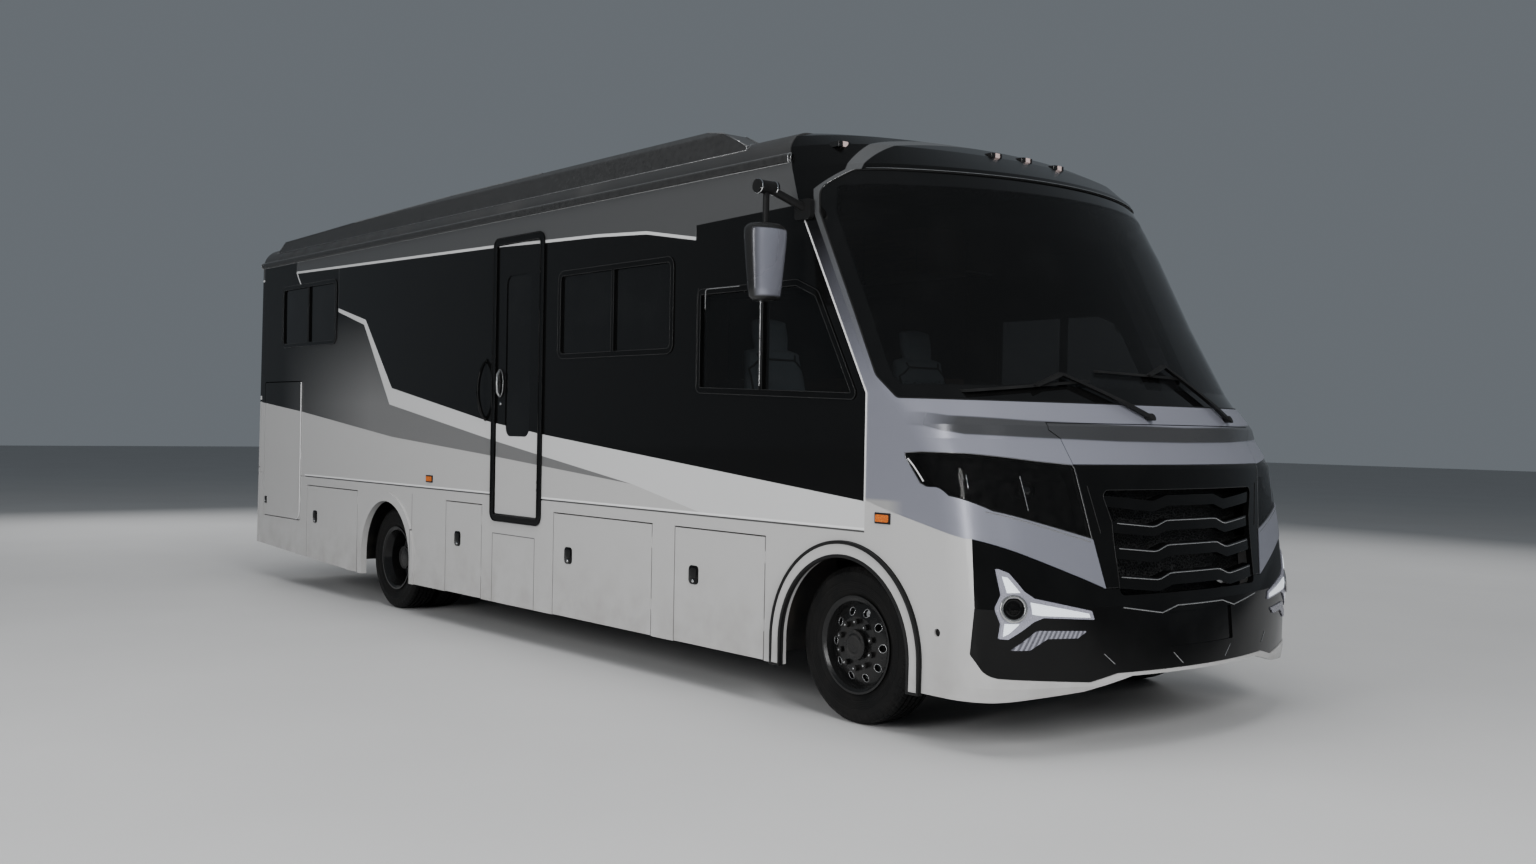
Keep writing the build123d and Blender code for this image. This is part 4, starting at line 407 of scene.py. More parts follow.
def daylight_look(place, x, y, z):
    """White light guides with fine prisms, lit from inside."""
    prisms = ((z - y.size() * 0.4) * 700.0).sine().ramp(-1.0, 1.0)
    glow = prisms.ramp(0.0, 1.0, 0.75, 1.0)
    colour = glow.between(grey(0.3), (0.82, 0.88, 0.95, 1.0))
    return surface(colour, prisms * 0.1 + 0.15, prisms.bump(0.001, 0.4), Emission_Color=colour)


def lamp_body_look(place, x, y, z):
    """Pale grey housing of the daytime lamps, ribbed along the lower strip, with painted shade in the rib
    grooves.
    """
    strip = (z - y.size().line(STRIP_TOP)).ramp(0.004, 0.0)
    ribs = ((y.size() + z * 0.5) * 280.0).sine().ramp(-0.6, 0.6) * strip
    # Painted shade: the rib grooves are coloured darker than the housing
    colour = ribs.between((0.34, 0.34, 0.40, 1.0), (0.12, 0.12, 0.14, 1.0))
    return surface(colour, place.noise(40.0, 3.0) * 0.1 + 0.22, (ribs * -1.0).bump(0.003, 0.6))


def leather_look(low, high):
    """Leather with pebbled grain and fine creases."""
    def look(place, x, y, z):
        grain = place.cells(330.0, "SMOOTH_F1") * 0.7 + place.noise(800.0, 2.0) * 0.3
        crease = place.stretched(6.0, 1.0, 6.0).noise(3.0, 4.0).ramp(0.45, 0.6)
        colour = (crease * 0.4 + grain * 0.25).between(low, high)
        return surface(colour, grain * 0.15 + 0.42, (grain + crease * 0.5).bump(0.0008, 0.6))
    return look


def wood_look(place, x, y, z):
    """Dark veneer with long grain, and the joints between the cabinet doors."""
    grain = place.stretched(1.2, 14.0, 14.0).noise(5.0, 8.0, 0.62)
    colour = grain.ramp(0.3, 0.7).between((0.085, 0.055, 0.036, 1.0), (0.20, 0.135, 0.085, 1.0))
    joint = x.math("FRACT", x * 2.0 + 10.0).near(0.5, 0.006, 0.002)
    colour = (joint * 0.8).between(colour, grey(0.01))
    return surface(colour, grain * 0.2 + 0.25, (grain * 0.3 - joint * 2.0).bump(0.0015, 0.5))


def floor_look(place, x, y, z):
    """Cabin floor covering with a woven fleck."""
    fleck = place.cells(260.0)
    colour = fleck.ramp(0.1, 0.6).between((0.06, 0.05, 0.045, 1.0), (0.14, 0.125, 0.11, 1.0))
    return surface(colour, fleck * 0.1 + 0.6, fleck.bump(0.0008, 0.5))


def chrome_look(place, x, y, z):
    """Bright plating with faint polishing marks."""
    marks = place.stretched(30.0, 30.0, 3.0).noise(8.0, 4.0)
    return surface(marks.between(grey(0.62), grey(0.80)), marks * 0.10 + 0.05, marks.bump(0.0003, 0.3))


MIRROR_X, MIRROR_Y, MIRROR_STEPS = 2.950, 1.450, 56
MIRROR_SECTIONS = (
    # height, half width, half depth
    (2.0362, 0.050, 0.034), (2.0370, 0.060, 0.041), (2.044, 0.074, 0.050), (2.056, 0.0845, 0.057),
    (2.100, 0.091, 0.062), (2.150, 0.096, 0.066), (2.200, 0.101, 0.070), (2.250, 0.106, 0.073),
    (2.300, 0.1105, 0.077), (2.340, 0.1135, 0.079), (2.371, 0.1145, 0.0798), (2.388, 0.111, 0.077),
    (2.401, 0.101, 0.069), (2.409, 0.086, 0.058), (2.4118, 0.066, 0.044),
)


def satin_look(low, high):
    """Satin metal or paint with faint handling marks."""
    def look(place, x, y, z):
        marks = place.noise(30.0, 5.0)
        colour = marks.ramp(0.3, 0.7).between(low, high)
        return surface(colour, marks * 0.15 + 0.15, place.noise(400.0, 1.0).bump(0.0002, 0.3))
    return look


def mirror_head_look(place, x, y, z):
    """Silver mirror housing with a black cap, foot and side borders."""
    cap = z.ramp(2.378, 2.384)
    foot = z.ramp(2.066, 2.054)
    half_width = z.line([(height, wide) for height, wide, _ in MIRROR_SECTIONS[3:12]])
    reach = (y.size() - MIRROR_Y).size() / half_width
    dark = cap.highest(foot).highest(x.ramp(2.925, 2.915)).highest(reach.ramp(0.70, 0.97))
    colour = (place.cells(1400.0) * 0.08).between(dark.between(NOSE_SILVER, grey(0.006)), grey(0.5))
    return surface(colour, place.noise(3.0, 3.0) * 0.06 + 0.24, place.noise(260.0, 1.0).bump(0.0006, 0.2))


def reflector_look(place, x, y, z):
    """Faceted bright reflector."""
    facets = place.cells(38.0)
    colour = facets.ramp(0.1, 0.6).between(grey(0.35), grey(0.8))
    return surface(colour, facets * 0.15 + 0.08, facets.bump(0.003, 0.6))


def mesh_look(place, x, y, z):
    """Dark grille mesh of small cells, with painted shade filling the open cells."""
    cell = place.stretched(0.0, 1.0, 1.0).cells(75.0, "DISTANCE_TO_EDGE").ramp(0.04, 0.12)
    # Painted shade: the inside of each cell is near black, as if open and in shade
    return surface(cell.between(grey(0.030), grey(0.002)), cell * 0.4 + 0.35, (1 - cell).bump(0.004, 0.8))


COAT = {"Coat_Weight": 0.25, "Coat_Roughness": 0.05, "Specular_IOR_Level": 0.15}
SATIN_COAT = {"Coat_Weight": 0.25, "Coat_Roughness": 0.18, "Specular_IOR_Level": 0.3}
GLOSS_COAT = {"Coat_Weight": 0.12, "Coat_Roughness": 0.05, "Specular_IOR_Level": 0.15}
WHEEL_COAT = {"Coat_Weight": 0.25, "Coat_Roughness": 0.15, "Specular_IOR_Level": 0.25}
GLAZED = {"Specular_IOR_Level": 0.45}
SMOKED = (0.45, grey(0.003), grey(0.007), 30.0)
RED = (0.95, (0.25, 0.006, 0.006, 1.0), (0.5, 0.02, 0.015, 1.0), 150.0)
PALE_LEATHER = ((0.27, 0.33, 0.37, 1.0), (0.38, 0.44, 0.48, 1.0))
side_paint = finish("side_paint_bands", side_look, **COAT)
nose_paint = finish("nose_paint_silver", nose_look, Metallic=0.45, **SATIN_COAT)
bumper_paint = finish("bumper_paint", bumper_look, **COAT)
rear_paint = finish("rear_wall_paint", rear_look, **COAT)
roof_paint = finish("roof_skin", roof_look)
black_gloss = finish("black_gloss_panel", gloss_look, **GLOSS_COAT)
black_moulded = finish("black_moulded_plastic", moulded_look, Specular_IOR_Level=0.25)
side_glass = finish("dark_side_glass", side_glass_look, **GLAZED)
windscreen_glass = finish("windscreen_glass", windscreen_look, **GLAZED)
chassis_paint = finish("frame_black", chassis_look)
tyre_rubber = finish("tyre_rubber", tyre_look, Specular_IOR_Level=0.2)
wheel_paint = finish("wheel_satin_black", wheel_look, **WHEEL_COAT)
smoked_lens = finish("smoked_lamp_lens", lens_look(*SMOKED), Specular_IOR_Level=0.2)
amber_lens = finish("marker_lens", marker_look)
red_lens = finish("red_lens", lens_look(*RED))
daylight = finish("daylight_guide", daylight_look, Emission_Strength=0.55)
lamp_body = finish("daylight_body", lamp_body_look, Metallic=0.4)
pale_leather = finish("pale_seat_leather", leather_look(*PALE_LEATHER))
dark_leather = finish("dark_piping_leather", leather_look(grey(0.02), grey(0.04)))
cabinet_wood = finish("cabinet_veneer", wood_look)
cabin_floor = finish("cabin_floor_covering", floor_look)
chrome = finish("bright_plating", chrome_look, Metallic=1.0)
satin_metal = finish("satin_metal_trim", satin_look(grey(0.42), grey(0.52)), Metallic=0.9)
satin_black = finish("satin_black_trim", satin_look(grey(0.030), grey(0.045)), Metallic=0.6)
rail_paint = finish("roof_rail_paint", satin_look(grey(0.019), grey(0.027)), Specular_IOR_Level=0.3)
satin_white = finish("satin_white_trim", satin_look(grey(0.50), grey(0.56)))
mirror_silver = finish("mirror_housing_silver", mirror_head_look, Metallic=0.55, **SATIN_COAT)
reflector = finish("lamp_reflector", reflector_look, Metallic=1.0)
grille_mesh = finish("grille_mesh", mesh_look)

NODE_FINISHES = {
    side_paint: ("side_walls", "skirts", "arch_flares", "entry_door", "utility_door"),
    nose_paint: ("front_cap", "hood"),
    bumper_paint: ("bumper_shell",),
    rear_paint: ("rear_wall",),
    roof_paint: ("roof_shell", "roof_units"),
    black_gloss: ("bumper_front", "grille", "grille_surround", "window_frames", "door_frame", "grab_handle"),
    rail_paint: ("roof_rails",),
    black_moulded: ("mirror_arms", "wipers", "rear_bumper", "roof_hatch_lid", "dashboard", "headlamps"),
    side_glass: ("window_glass", "entry_door_glass"),
    windscreen_glass: ("windscreen",),
    chassis_paint: ("chassis_frame", "engine_block", "fuel_tank", "front_axle", "rear_axle", "locker_bins",
                    "knuckle_left", "knuckle_right"),
    tyre_rubber: ("front_tyre_left", "front_tyre_right", "rear_tyres_left", "rear_tyres_right"),
    wheel_paint: ("front_rim_left", "front_rim_right", "rear_rims_left", "rear_rims_right"),
    smoked_lens: ("lamp_lenses",),
    amber_lens: ("marker_lamps",),
    red_lens: ("rear_lamps",),
    lamp_body: ("daytime_lamps",),
    pale_leather: ("seat_cushions",),
    cabinet_wood: ("cabin_furniture",),
    cabin_floor: ("floor_deck", "entry_step"),
    mirror_silver: ("mirror_heads",),
}
BAY_LATCHES = {
    # skirt door: where its latch is along the vehicle
    "right_rear": -3.132, "right_mid": -0.619, "right_front": 0.827, "right_cab": 2.113,
    "left_rear": -3.132, "left_mid": -0.619, "left_front": 2.113,
}
NODE_FINISHES[side_paint] += tuple("bay_door_" + bay for bay in BAY_LATCHES)
for coating, names in NODE_FINISHES.items():
    for name in names:
        NODES[name].data.materials.clear()
        NODES[name].data.materials.append(coating)

# The slot for each finish, unless a piece's own call names another
SLOTS = {
    black_gloss: "black_gloss", satin_black: "black_gloss", black_moulded: "black_matte",
    grille_mesh: "black_matte", chrome: "mirror_silver", satin_metal: "mirror_silver",
    satin_white: "mirror_silver", mirror_silver: "mirror_silver", reflector: "lamp_white",
    daylight: "lamp_white", smoked_lens: "lamp_lens", red_lens: "red_lens", wheel_paint: "wheel_black",
    pale_leather: "seat_leather", dark_leather: "seat_leather",
}


def piece(name, shape, coating, body="motorhome", slot=None, smooth=True):
    """Makes an object of a bmesh or a curve; it rides on a body and takes a finish; its slot is not used."""
    if isinstance(shape, bmesh.types.BMesh):
        bmesh.ops.remove_doubles(shape, verts=shape.verts, dist=1e-5)
        bmesh.ops.recalc_face_normals(shape, faces=shape.faces)
        data = bpy.data.meshes.new(name)
        shape.to_mesh(data)
        shape.free()
        for face in data.polygons:
            face.use_smooth = smooth
    else:
        data = shape
    data.materials.append(coating)
    made = bpy.data.objects.new(name, data)
    bpy.context.scene.collection.objects.link(made)
    slot = slot or SLOTS[coating]
    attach(made, body)
    return made


def soft_box(low, high, bevel, segments=3):
    """A box between two corners with rounded edges."""
    shape = bmesh.new()
    bmesh.ops.create_cube(shape, size=1.0)
    size = [b - a for a, b in zip(low, high)]
    bmesh.ops.scale(shape, vec=size, verts=shape.verts)
    bmesh.ops.translate(shape, vec=[(a + b) / 2 for a, b in zip(low, high)], verts=shape.verts)
    bmesh.ops.bevel(shape, geom=shape.edges[:], offset=bevel, offset_type="OFFSET", segments=segments,
                    profile=0.5, affect="EDGES", material=-1, clamp_overlap=True)
    return shape


def wall(shape, lower, upper, closed=True):
    """Faces between two rows of corners."""
    for start in range(len(lower) - (not closed)):
        end = (start + 1) % len(lower)
        shape.faces.new((lower[start], lower[end], upper[end], upper[start]))


def rounded_plate(x, z, wide, tall, corner, near, far):
    """A plate with round corners on a side wall, from its middle, size and two distances across."""
    shape = bmesh.new()
    rounds = [(sx * (wide / 2 - corner) + corner * cos(turn), sz * (tall / 2 - corner) + corner * sin(turn))
              for quarter, (sx, sz) in enumerate(((1, 1), (-1, 1), (-1, -1), (1, -1)))
              for turn in ((quarter + step / 5) * pi / 2 for step in range(6))]
    foot, head = ([shape.verts.new((x + along, across, z + up)) for along, up in rounds]
                  for across in (near, far))
    wall(shape, foot, head)
    front = shape.faces.new(head)
    shape.faces.new(foot)
    bmesh.ops.bevel(shape, geom=front.edges[:], offset=abs(far - near) * 0.3, offset_type="OFFSET",
                    segments=2, profile=0.5, affect="EDGES", material=-1)
    return shape


def turned(points, origin, direction, steps=48):
    """A ring or knob turned about a line, from points (distance along it, radius)."""
    shape = bmesh.new()
    corners = [shape.verts.new((radius, 0.0, along)) for along, radius in points]
    edges = [shape.edges.new(pair) for pair in zip(corners, corners[1:])]
    bmesh.ops.spin(shape, geom=corners + edges, cent=(0, 0, 0), axis=(0, 0, 1), angle=2 * pi, steps=steps,
                   use_merge=True)
    bmesh.ops.remove_doubles(shape, verts=shape.verts, dist=1e-5)
    turn = Vector(direction).normalized().to_track_quat("Z", "Y").to_matrix().to_4x4()
    bmesh.ops.transform(shape, matrix=Matrix.Translation(Vector(origin)) @ turn, verts=shape.verts)
    return shape


def key_barrel(radius, lip, rise, place, side):
    """A round lock barrel that stands out of a side face."""
    points = ((0.0, radius), (0.004, radius), (rise, lip), (rise, 0.0))
    return turned(points, place, (0, side, 0), 20)


def bars(lines, radius, closed=False):
    """Thin round bars through lists of places, as one curve."""
    data = bpy.data.curves.new("bars", "CURVE")
    data.dimensions = "3D"
    data.bevel_depth = radius
    data.bevel_resolution = 2
    data.use_fill_caps = True
    for places in lines:
        spline = data.splines.new("POLY")
        spline.points.add(len(places) - 1)
        for corner, place in zip(spline.points, places):
            corner.co = (*place, 1.0)
        spline.use_cyclic_u = closed
    return data


def skin_at(node, start, direction, proud=0.0):
    """The place where a line first meets a node, raised by proud, and the outward direction there."""
    found, place, outward, _ = NODES[node].ray_cast(Vector(start), Vector(direction))
    if not found:
        raise ValueError(f"nothing of {node} lies beyond {start}")
    return place + outward * proud, outward


def on_skin(node, y, z, proud=0.0):
    """The place and the outward direction on a node's front face, straight ahead of (y, z)."""
    return skin_at(node, (6.0, y, z), (-1, 0, 0), proud)


def beside(node, side, x, z, proud=0.0):
    """The place on a node's outer side face at (x, z)."""
    return skin_at(node, (x, side * 3.0, z), (0, -side, 0), proud)[0]


def filled(places, step=0.03):
    """Places with more between them, so that a bar follows a curved face."""
    found = []
    for (y, z), (next_y, next_z) in zip(places, places[1:]):
        count = max(1, round(Vector((next_y - y, next_z - z)).length / step))
        found += [(y + (next_y - y) * i / count, z + (next_z - z) * i / count) for i in range(count)]
    return found + [places[-1]]


def sided(side, places):
    """Places (y, z) on one side of the vehicle."""
    return [(side * y, z) for y, z in places]


def trim_on(node, places, proud):
    """Points a little proud of a node's front face, from places (y, z)."""
    return [on_skin(node, y, z, proud)[0] for y, z in places]


def line_on(node, side, places, radius, proud):
    """A bar that follows a node's front face through places (y, z), on one side of the vehicle."""
    return bars([trim_on(node, filled(sided(side, places)), proud)], radius)


def rims(node, toward, smallest=0.002, bend=40.0):
    """Closed rings of places along the edges of a node's smooth faces that look one way."""
    copy = bmesh.new()
    copy.from_mesh(NODES[node].data)
    bmesh.ops.remove_doubles(copy, verts=copy.verts, dist=1e-5)
    left = dict.fromkeys(copy.faces)
    rings = []
    while left:
        patch = [left.popitem()[0]]
        links = {}
        for face in patch:
            for edge in face.edges:
                if edge.is_manifold and edge.calc_face_angle() < radians(bend):
                    for other in edge.link_faces:
                        if other in left:
                            del left[other]
                            patch.append(other)
                else:
                    one, other = edge.verts
                    links.setdefault(one, []).append(other)
                    links.setdefault(other, []).append(one)
        facing = sum((face.normal * face.calc_area() for face in patch), Vector())
        while facing.dot(toward) > smallest and links:
            here = next(iter(links))
            ring = []
            while links.get(here):
                ring.append(here.co.copy())
                step = links[here].pop()
                links[step].remove(here)
                here = step
            links = {corner: others for corner, others in links.items() if others}
            rings.append(ring)
    copy.free()
    return rings


def plate_on(node, places, back, front):
    """A thin plate over a node's front face, from its outline (y, z) and its heights above that face."""
    shape = bmesh.new()
    outline = filled(places + places[:1])[:-1]
    foot, head = ([shape.verts.new(place) for place in trim_on(node, outline, proud)]
                  for proud in (back, front))
    wall(shape, foot, head)
    faces = [shape.faces.new(head), shape.faces.new(foot)]
    bmesh.ops.triangulate(shape, faces=faces)
    return shape


# Skirt door latches: a black cup with a paddle and a key barrel
LATCH_RISE, PADDLE_RISE, KEY_RISE = 0.612, 0.622, 0.580
for bay, x in BAY_LATCHES.items():
    low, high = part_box("bay_door_" + bay)
    side = -1 if "right" in bay else 1
    body = "bay_" + bay
    face = side * HALF_WIDTH
    cup = rounded_plate(x, LATCH_RISE, 0.086, 0.102, 0.022, face - side * 0.004, face + side * 0.004)
    piece(f"latch_cup_{bay}", cup, black_gloss, body)
    paddle = rounded_plate(x, PADDLE_RISE, 0.052, 0.050, 0.012, face, face + side * 0.008)
    piece(f"latch_paddle_{bay}", paddle, black_moulded, body)
    key = key_barrel(0.010, 0.008, 0.006, (x, face + side * 0.004, KEY_RISE), side)
    piece(f"latch_key_{bay}", key, chrome, body)

# Utility door edge trim and lock
UTILITY_FACE, LOCK_FACE = -1.229, -1.231
UTILITY_EDGE = ((-3.464, 1.728), (-3.464, 1.200), (-3.464, 0.640), (-3.475, 0.600), (-3.505, 0.573),
                (-3.545, 0.569))
trim = bars([[(x, UTILITY_FACE, z) for x, z in UTILITY_EDGE]], 0.0055)
piece("utility_door_trim", trim, satin_white, "utility_door", "side_paint")
lock = soft_box((-4.273, LOCK_FACE, 0.668), (-4.232, -1.219, 0.727), 0.004)
piece("utility_lock_plate", lock, black_moulded, "utility_door")
barrel = key_barrel(0.008, 0.006, 0.005, (-4.2525, LOCK_FACE, 0.690), -1)
piece("utility_lock_barrel", barrel, chrome, "utility_door")

# Entry door latch: an oval plate, a bright lever, its lip and a key barrel
LATCH_X, LATCH_Z = -0.047, 1.678
plate = turned(((-0.002, 0.046), (0.006, 0.046), (0.009, 0.042), (0.009, 0.0)), (0, 0, 0), (0, -1, 0), 40)
bmesh.ops.scale(plate, vec=(1.0, 1.0, 2.05), verts=plate.verts)
bmesh.ops.translate(plate, vec=(LATCH_X, -HALF_WIDTH, LATCH_Z), verts=plate.verts)
piece("entry_latch_plate", plate, black_gloss, "entry_door")
LEVER = ((-1.236, 1.600), (-1.250, 1.618), (-1.254, 1.680), (-1.250, 1.738), (-1.236, 1.756))
lever = bars([[(LATCH_X, y, z) for y, z in LEVER]], 0.009)
piece("entry_latch_lever", lever, satin_metal, "entry_door")
LATCH_LIP = [(LATCH_X + 0.044 * cos(turn / 24 * pi), -1.2335, LATCH_Z + 0.090 * sin(turn / 24 * pi))
             for turn in range(48)]
piece("entry_latch_lip", bars([LATCH_LIP], 0.003, True), satin_metal, "entry_door")
key = key_barrel(0.012, 0.009, 0.006, (LATCH_X, -HALF_WIDTH, 1.545), -1)
piece("entry_key", key, chrome, "entry_door")

# Grab handle: a bow with its ends in round flanges
HANDLE_X, HANDLE_LOW, HANDLE_HIGH, HANDLE_REACH = -0.245, 1.441, 1.830, 0.062
BOW = [(HANDLE_X, -HALF_WIDTH - HANDLE_REACH * sin(step / 30 * pi) ** 0.6,
        HANDLE_LOW + (HANDLE_HIGH - HANDLE_LOW) * step / 30) for step in range(31)]
bow = piece("grab_handle_bow", bars([BOW], 0.0125), black_gloss)
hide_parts("grab_handle")
FLANGE = ((0.0, 0.0), (0.0, 0.014), (0.006, 0.014), (0.010, 0.0125), (0.010, 0.0))
for word, z in (("low", HANDLE_LOW), ("high", HANDLE_HIGH)):
    flange = turned(FLANGE, (HANDLE_X, -HALF_WIDTH, z), (0, -1, 0), 32)
    piece(f"handle_flange_{word}", flange, black_gloss)

# Beads that carry the highlights round openings, glass, roof rails and lamps, and dark tubes of painted shade
# along the front flares
RIGHT, LEFT, AHEAD = Vector((0, -1, 0)), Vector((0, 1, 0)), Vector((1, 0, 0))


def front_flare(toward):
    """The rims of the wheel arch flare ahead, on one side."""
    return [ring for ring in rims("arch_flares", toward) if ring[0].x > 0]


for name, rings, radius, coating in (
    ("door_frame_bead", rims("door_frame", RIGHT), 0.0045, black_gloss),
    ("window_bead_right", rims("window_frames", RIGHT), 0.0020, satin_black),
    ("window_bead_left", rims("window_frames", LEFT), 0.0020, satin_black),
    ("roof_rail_bead_right", rims("roof_rails", RIGHT), 0.0040, satin_metal),
    ("roof_rail_bead_left", rims("roof_rails", LEFT), 0.0040, satin_metal),
    ("windscreen_gasket", rims("windscreen", AHEAD), 0.0060, black_moulded),
    ("lamp_bead", rims("lamp_lenses", AHEAD), 0.0016, satin_metal),
    ("grille_mouth_bead", rims("grille_surround", AHEAD), 0.0016, satin_black),
    # Painted shade: dark tubes round the front flares stand in for their shaded side faces
    ("flare_shade_right", front_flare(RIGHT), 0.009, black_moulded),
    ("flare_shade_left", front_flare(LEFT), 0.009, black_moulded),
):
    piece(name, bars(rings, radius, True), coating)

# Bright line along the head of the windscreen, under the brow
BROW_LINE_RISE = 2.60
BROW_LINE_SHIFT = Vector((0.006, 0.0, 0.004))
edge = max(rims("windscreen", AHEAD), key=len)
head = [place + BROW_LINE_SHIFT for place in edge if place.z > BROW_LINE_RISE]
head.sort(key=lambda place: place.y)
piece("brow_line", bars([head], 0.0028), satin_metal)

# Wheels: hub cap, valve, lips round the hand holes and the ends of the studs
HAND_HOLES, HAND_HOLE_CIRCLE, LIP_RADIUS = 10, 0.163, 0.0195
STUD_CIRCLE, STUD_RADIUS = 0.1125, 0.0065
FRONT_CAP = ((0.0, 0.0), (0.0, 0.074), (0.010, 0.074), (0.022, 0.068), (0.030, 0.056), (0.032, 0.040),
             (0.028, 0.030), (0.030, 0.0))
REAR_CAP = ((0.0, 0.0), (0.0, 0.086), (0.012, 0.086), (0.020, 0.078), (0.024, 0.060), (0.024, 0.0))
VALVE = ((0.0, 0.0), (0.0, 0.004), (0.030, 0.004), (0.034, 0.0025), (0.034, 0.0))
VALVE_OUT, VALVE_ACROSS, VALVE_UP = 0.178, 1.075, 0.05
for word, side in SIDES:
    for label, axle_x, rim, body, cap, cap_y in (
        ("front", FRONT_AXLE_X, f"front_rim_{word}", f"front_wheel_{word}", FRONT_CAP, 1.120),
        ("rear", REAR_AXLE_X, f"rear_rims_{word}", f"rear_wheels_{word}", REAR_CAP, 1.060),
    ):
        hub = turned(cap, (axle_x, side * cap_y, AXLE_Z), (0, side, 0))
        piece(f"{label}_hub_cap_{word}", hub, wheel_paint, body)
        foot = (axle_x + VALVE_OUT, side * VALVE_ACROSS, AXLE_Z + VALVE_UP)
        piece(f"{label}_valve_{word}", turned(VALVE, foot, (0.2, side, 0), 12), black_moulded, body)
        lips, studs = [], bmesh.new()
        for step in range(HAND_HOLES):
            angle = 2 * pi * step / HAND_HOLES
            hole_x, hole_z = axle_x + HAND_HOLE_CIRCLE * cos(angle), AXLE_Z + HAND_HOLE_CIRCLE * sin(angle)
            lips.append([beside(rim, side, hole_x + LIP_RADIUS * cos(turn), hole_z + LIP_RADIUS * sin(turn))
                         for turn in (2 * pi * part / 20 for part in range(20))])
            angle += pi / HAND_HOLES
            nut_x, nut_z = axle_x + STUD_CIRCLE * cos(angle), AXLE_Z + STUD_CIRCLE * sin(angle)
            tip = beside(rim, side, nut_x, nut_z, 0.003)
            turn = Matrix.Translation(tip) @ Matrix.Rotation(pi / 2, 4, "X")
            bmesh.ops.create_cone(studs, cap_ends=True, segments=14, radius1=STUD_RADIUS,
                                  radius2=STUD_RADIUS * 0.8, depth=0.008, matrix=turn)
        piece(f"{label}_hole_lips_{word}", bars(lips, 0.0022, True), satin_metal, body, "wheel_black")
        piece(f"{label}_studs_{word}", studs, satin_metal, body, "wheel_black")

# Headlamps: a projector behind the smoked lens, the bright lines round it, and a white bar as a painted
# highlight along the outer tip of each lens
PROJECTOR = (0.966, 1.166)
PROJECTOR_BALL = ((-0.008, 0.022), (0.002, 0.021), (0.009, 0.016), (0.013, 0.009), (0.014, 0.0))
PROJECTOR_RING = ((-0.006, 0.026), (0.002, 0.034), (0.004, 0.040), (-0.008, 0.040), (-0.008, 0.026),
                  (-0.006, 0.026))
LAMP_LINES = (
    ("inner", ((1.006, 1.226), (0.984, 1.074))),
    ("outer", ((1.181, 1.228), (1.180, 1.166))),
)
LAMP_TIP_HIGHLIGHT = ((3.722, 1.290), (3.755, 1.262), (3.790, 1.226), (3.822, 1.190))
BLADE_EDGE = ((1.150, 1.068), (1.020, 1.032), (0.690, 0.935))
for word, side in SIDES:
    place, outward = on_skin("lamp_lenses", side * PROJECTOR[0], PROJECTOR[1], -0.020)
    ball = turned(PROJECTOR_BALL, place - outward * 0.012, outward)
    piece(f"projector_lens_{word}", ball, reflector)
    ring = turned(PROJECTOR_RING, place - outward * 0.008, outward)
    piece(f"projector_ring_{word}", ring, black_gloss)
    for label, places in LAMP_LINES:
        line = line_on("lamp_lenses", side, places, 0.0022, 0.0005)
        piece(f"lamp_line_{label}_{word}", line, chrome)
    # Painted highlight: a pale white bar along the lower outer tip of the lens
    tip = [NODES["lamp_lenses"].closest_point_on_mesh(Vector((x, side * 1.24, z))) for x, z in LAMP_TIP_HIGHLIGHT]
    tip = [place + outward * 0.001 for _, place, outward, _ in tip]
    piece(f"lamp_tip_highlight_{word}", bars([tip], 0.0035), satin_white)
    piece(f"blade_edge_{word}", line_on("front_cap", side, BLADE_EDGE, 0.0022, 0.0005), satin_metal)

# Daytime lamps: light guides on the arms of each Y, and a dark projector in a ring at its middle
DAYLIGHT = (1.089, 0.653)
DAYLIGHT_CUP = ((0.004, 0.045), (0.006, 0.040), (-0.004, 0.032), (-0.004, 0.0))
DAYLIGHT_BALL = ((-0.004, 0.028), (0.002, 0.026), (0.006, 0.018), (0.008, 0.0))
DAYLIGHT_RING = ((0.002, 0.046), (0.009, 0.047), (0.011, 0.052), (0.010, 0.060), (0.004, 0.063),
                 (0.002, 0.062), (0.002, 0.046))
DAYLIGHT_INSERTS = (
    ("up", ((1.124, 0.792), (1.105, 0.787), (1.063, 0.722), (1.112, 0.721))),
    ("in", ((1.022, 0.680), (0.735, 0.622), (0.728, 0.604), (0.975, 0.621), (1.015, 0.628))),
    ("low", ((1.124, 0.588), (1.070, 0.588), (1.108, 0.546), (1.128, 0.532))),
)
for word, side in SIDES:
    place, outward = on_skin("bumper_front", side * DAYLIGHT[0], DAYLIGHT[1])
    for label, points, coating in (
        ("cup", DAYLIGHT_CUP, black_gloss),
        ("ball", DAYLIGHT_BALL, smoked_lens),
        ("ring", DAYLIGHT_RING, satin_metal),
    ):
        piece(f"daylight_{label}_{word}", turned(points, place, outward), coating)
    for label, outline in DAYLIGHT_INSERTS:
        guide = plate_on("daytime_lamps", sided(side, outline), 0.0, 0.003)
        piece(f"daylight_guide_{label}_{word}", guide, daylight, smooth=False)

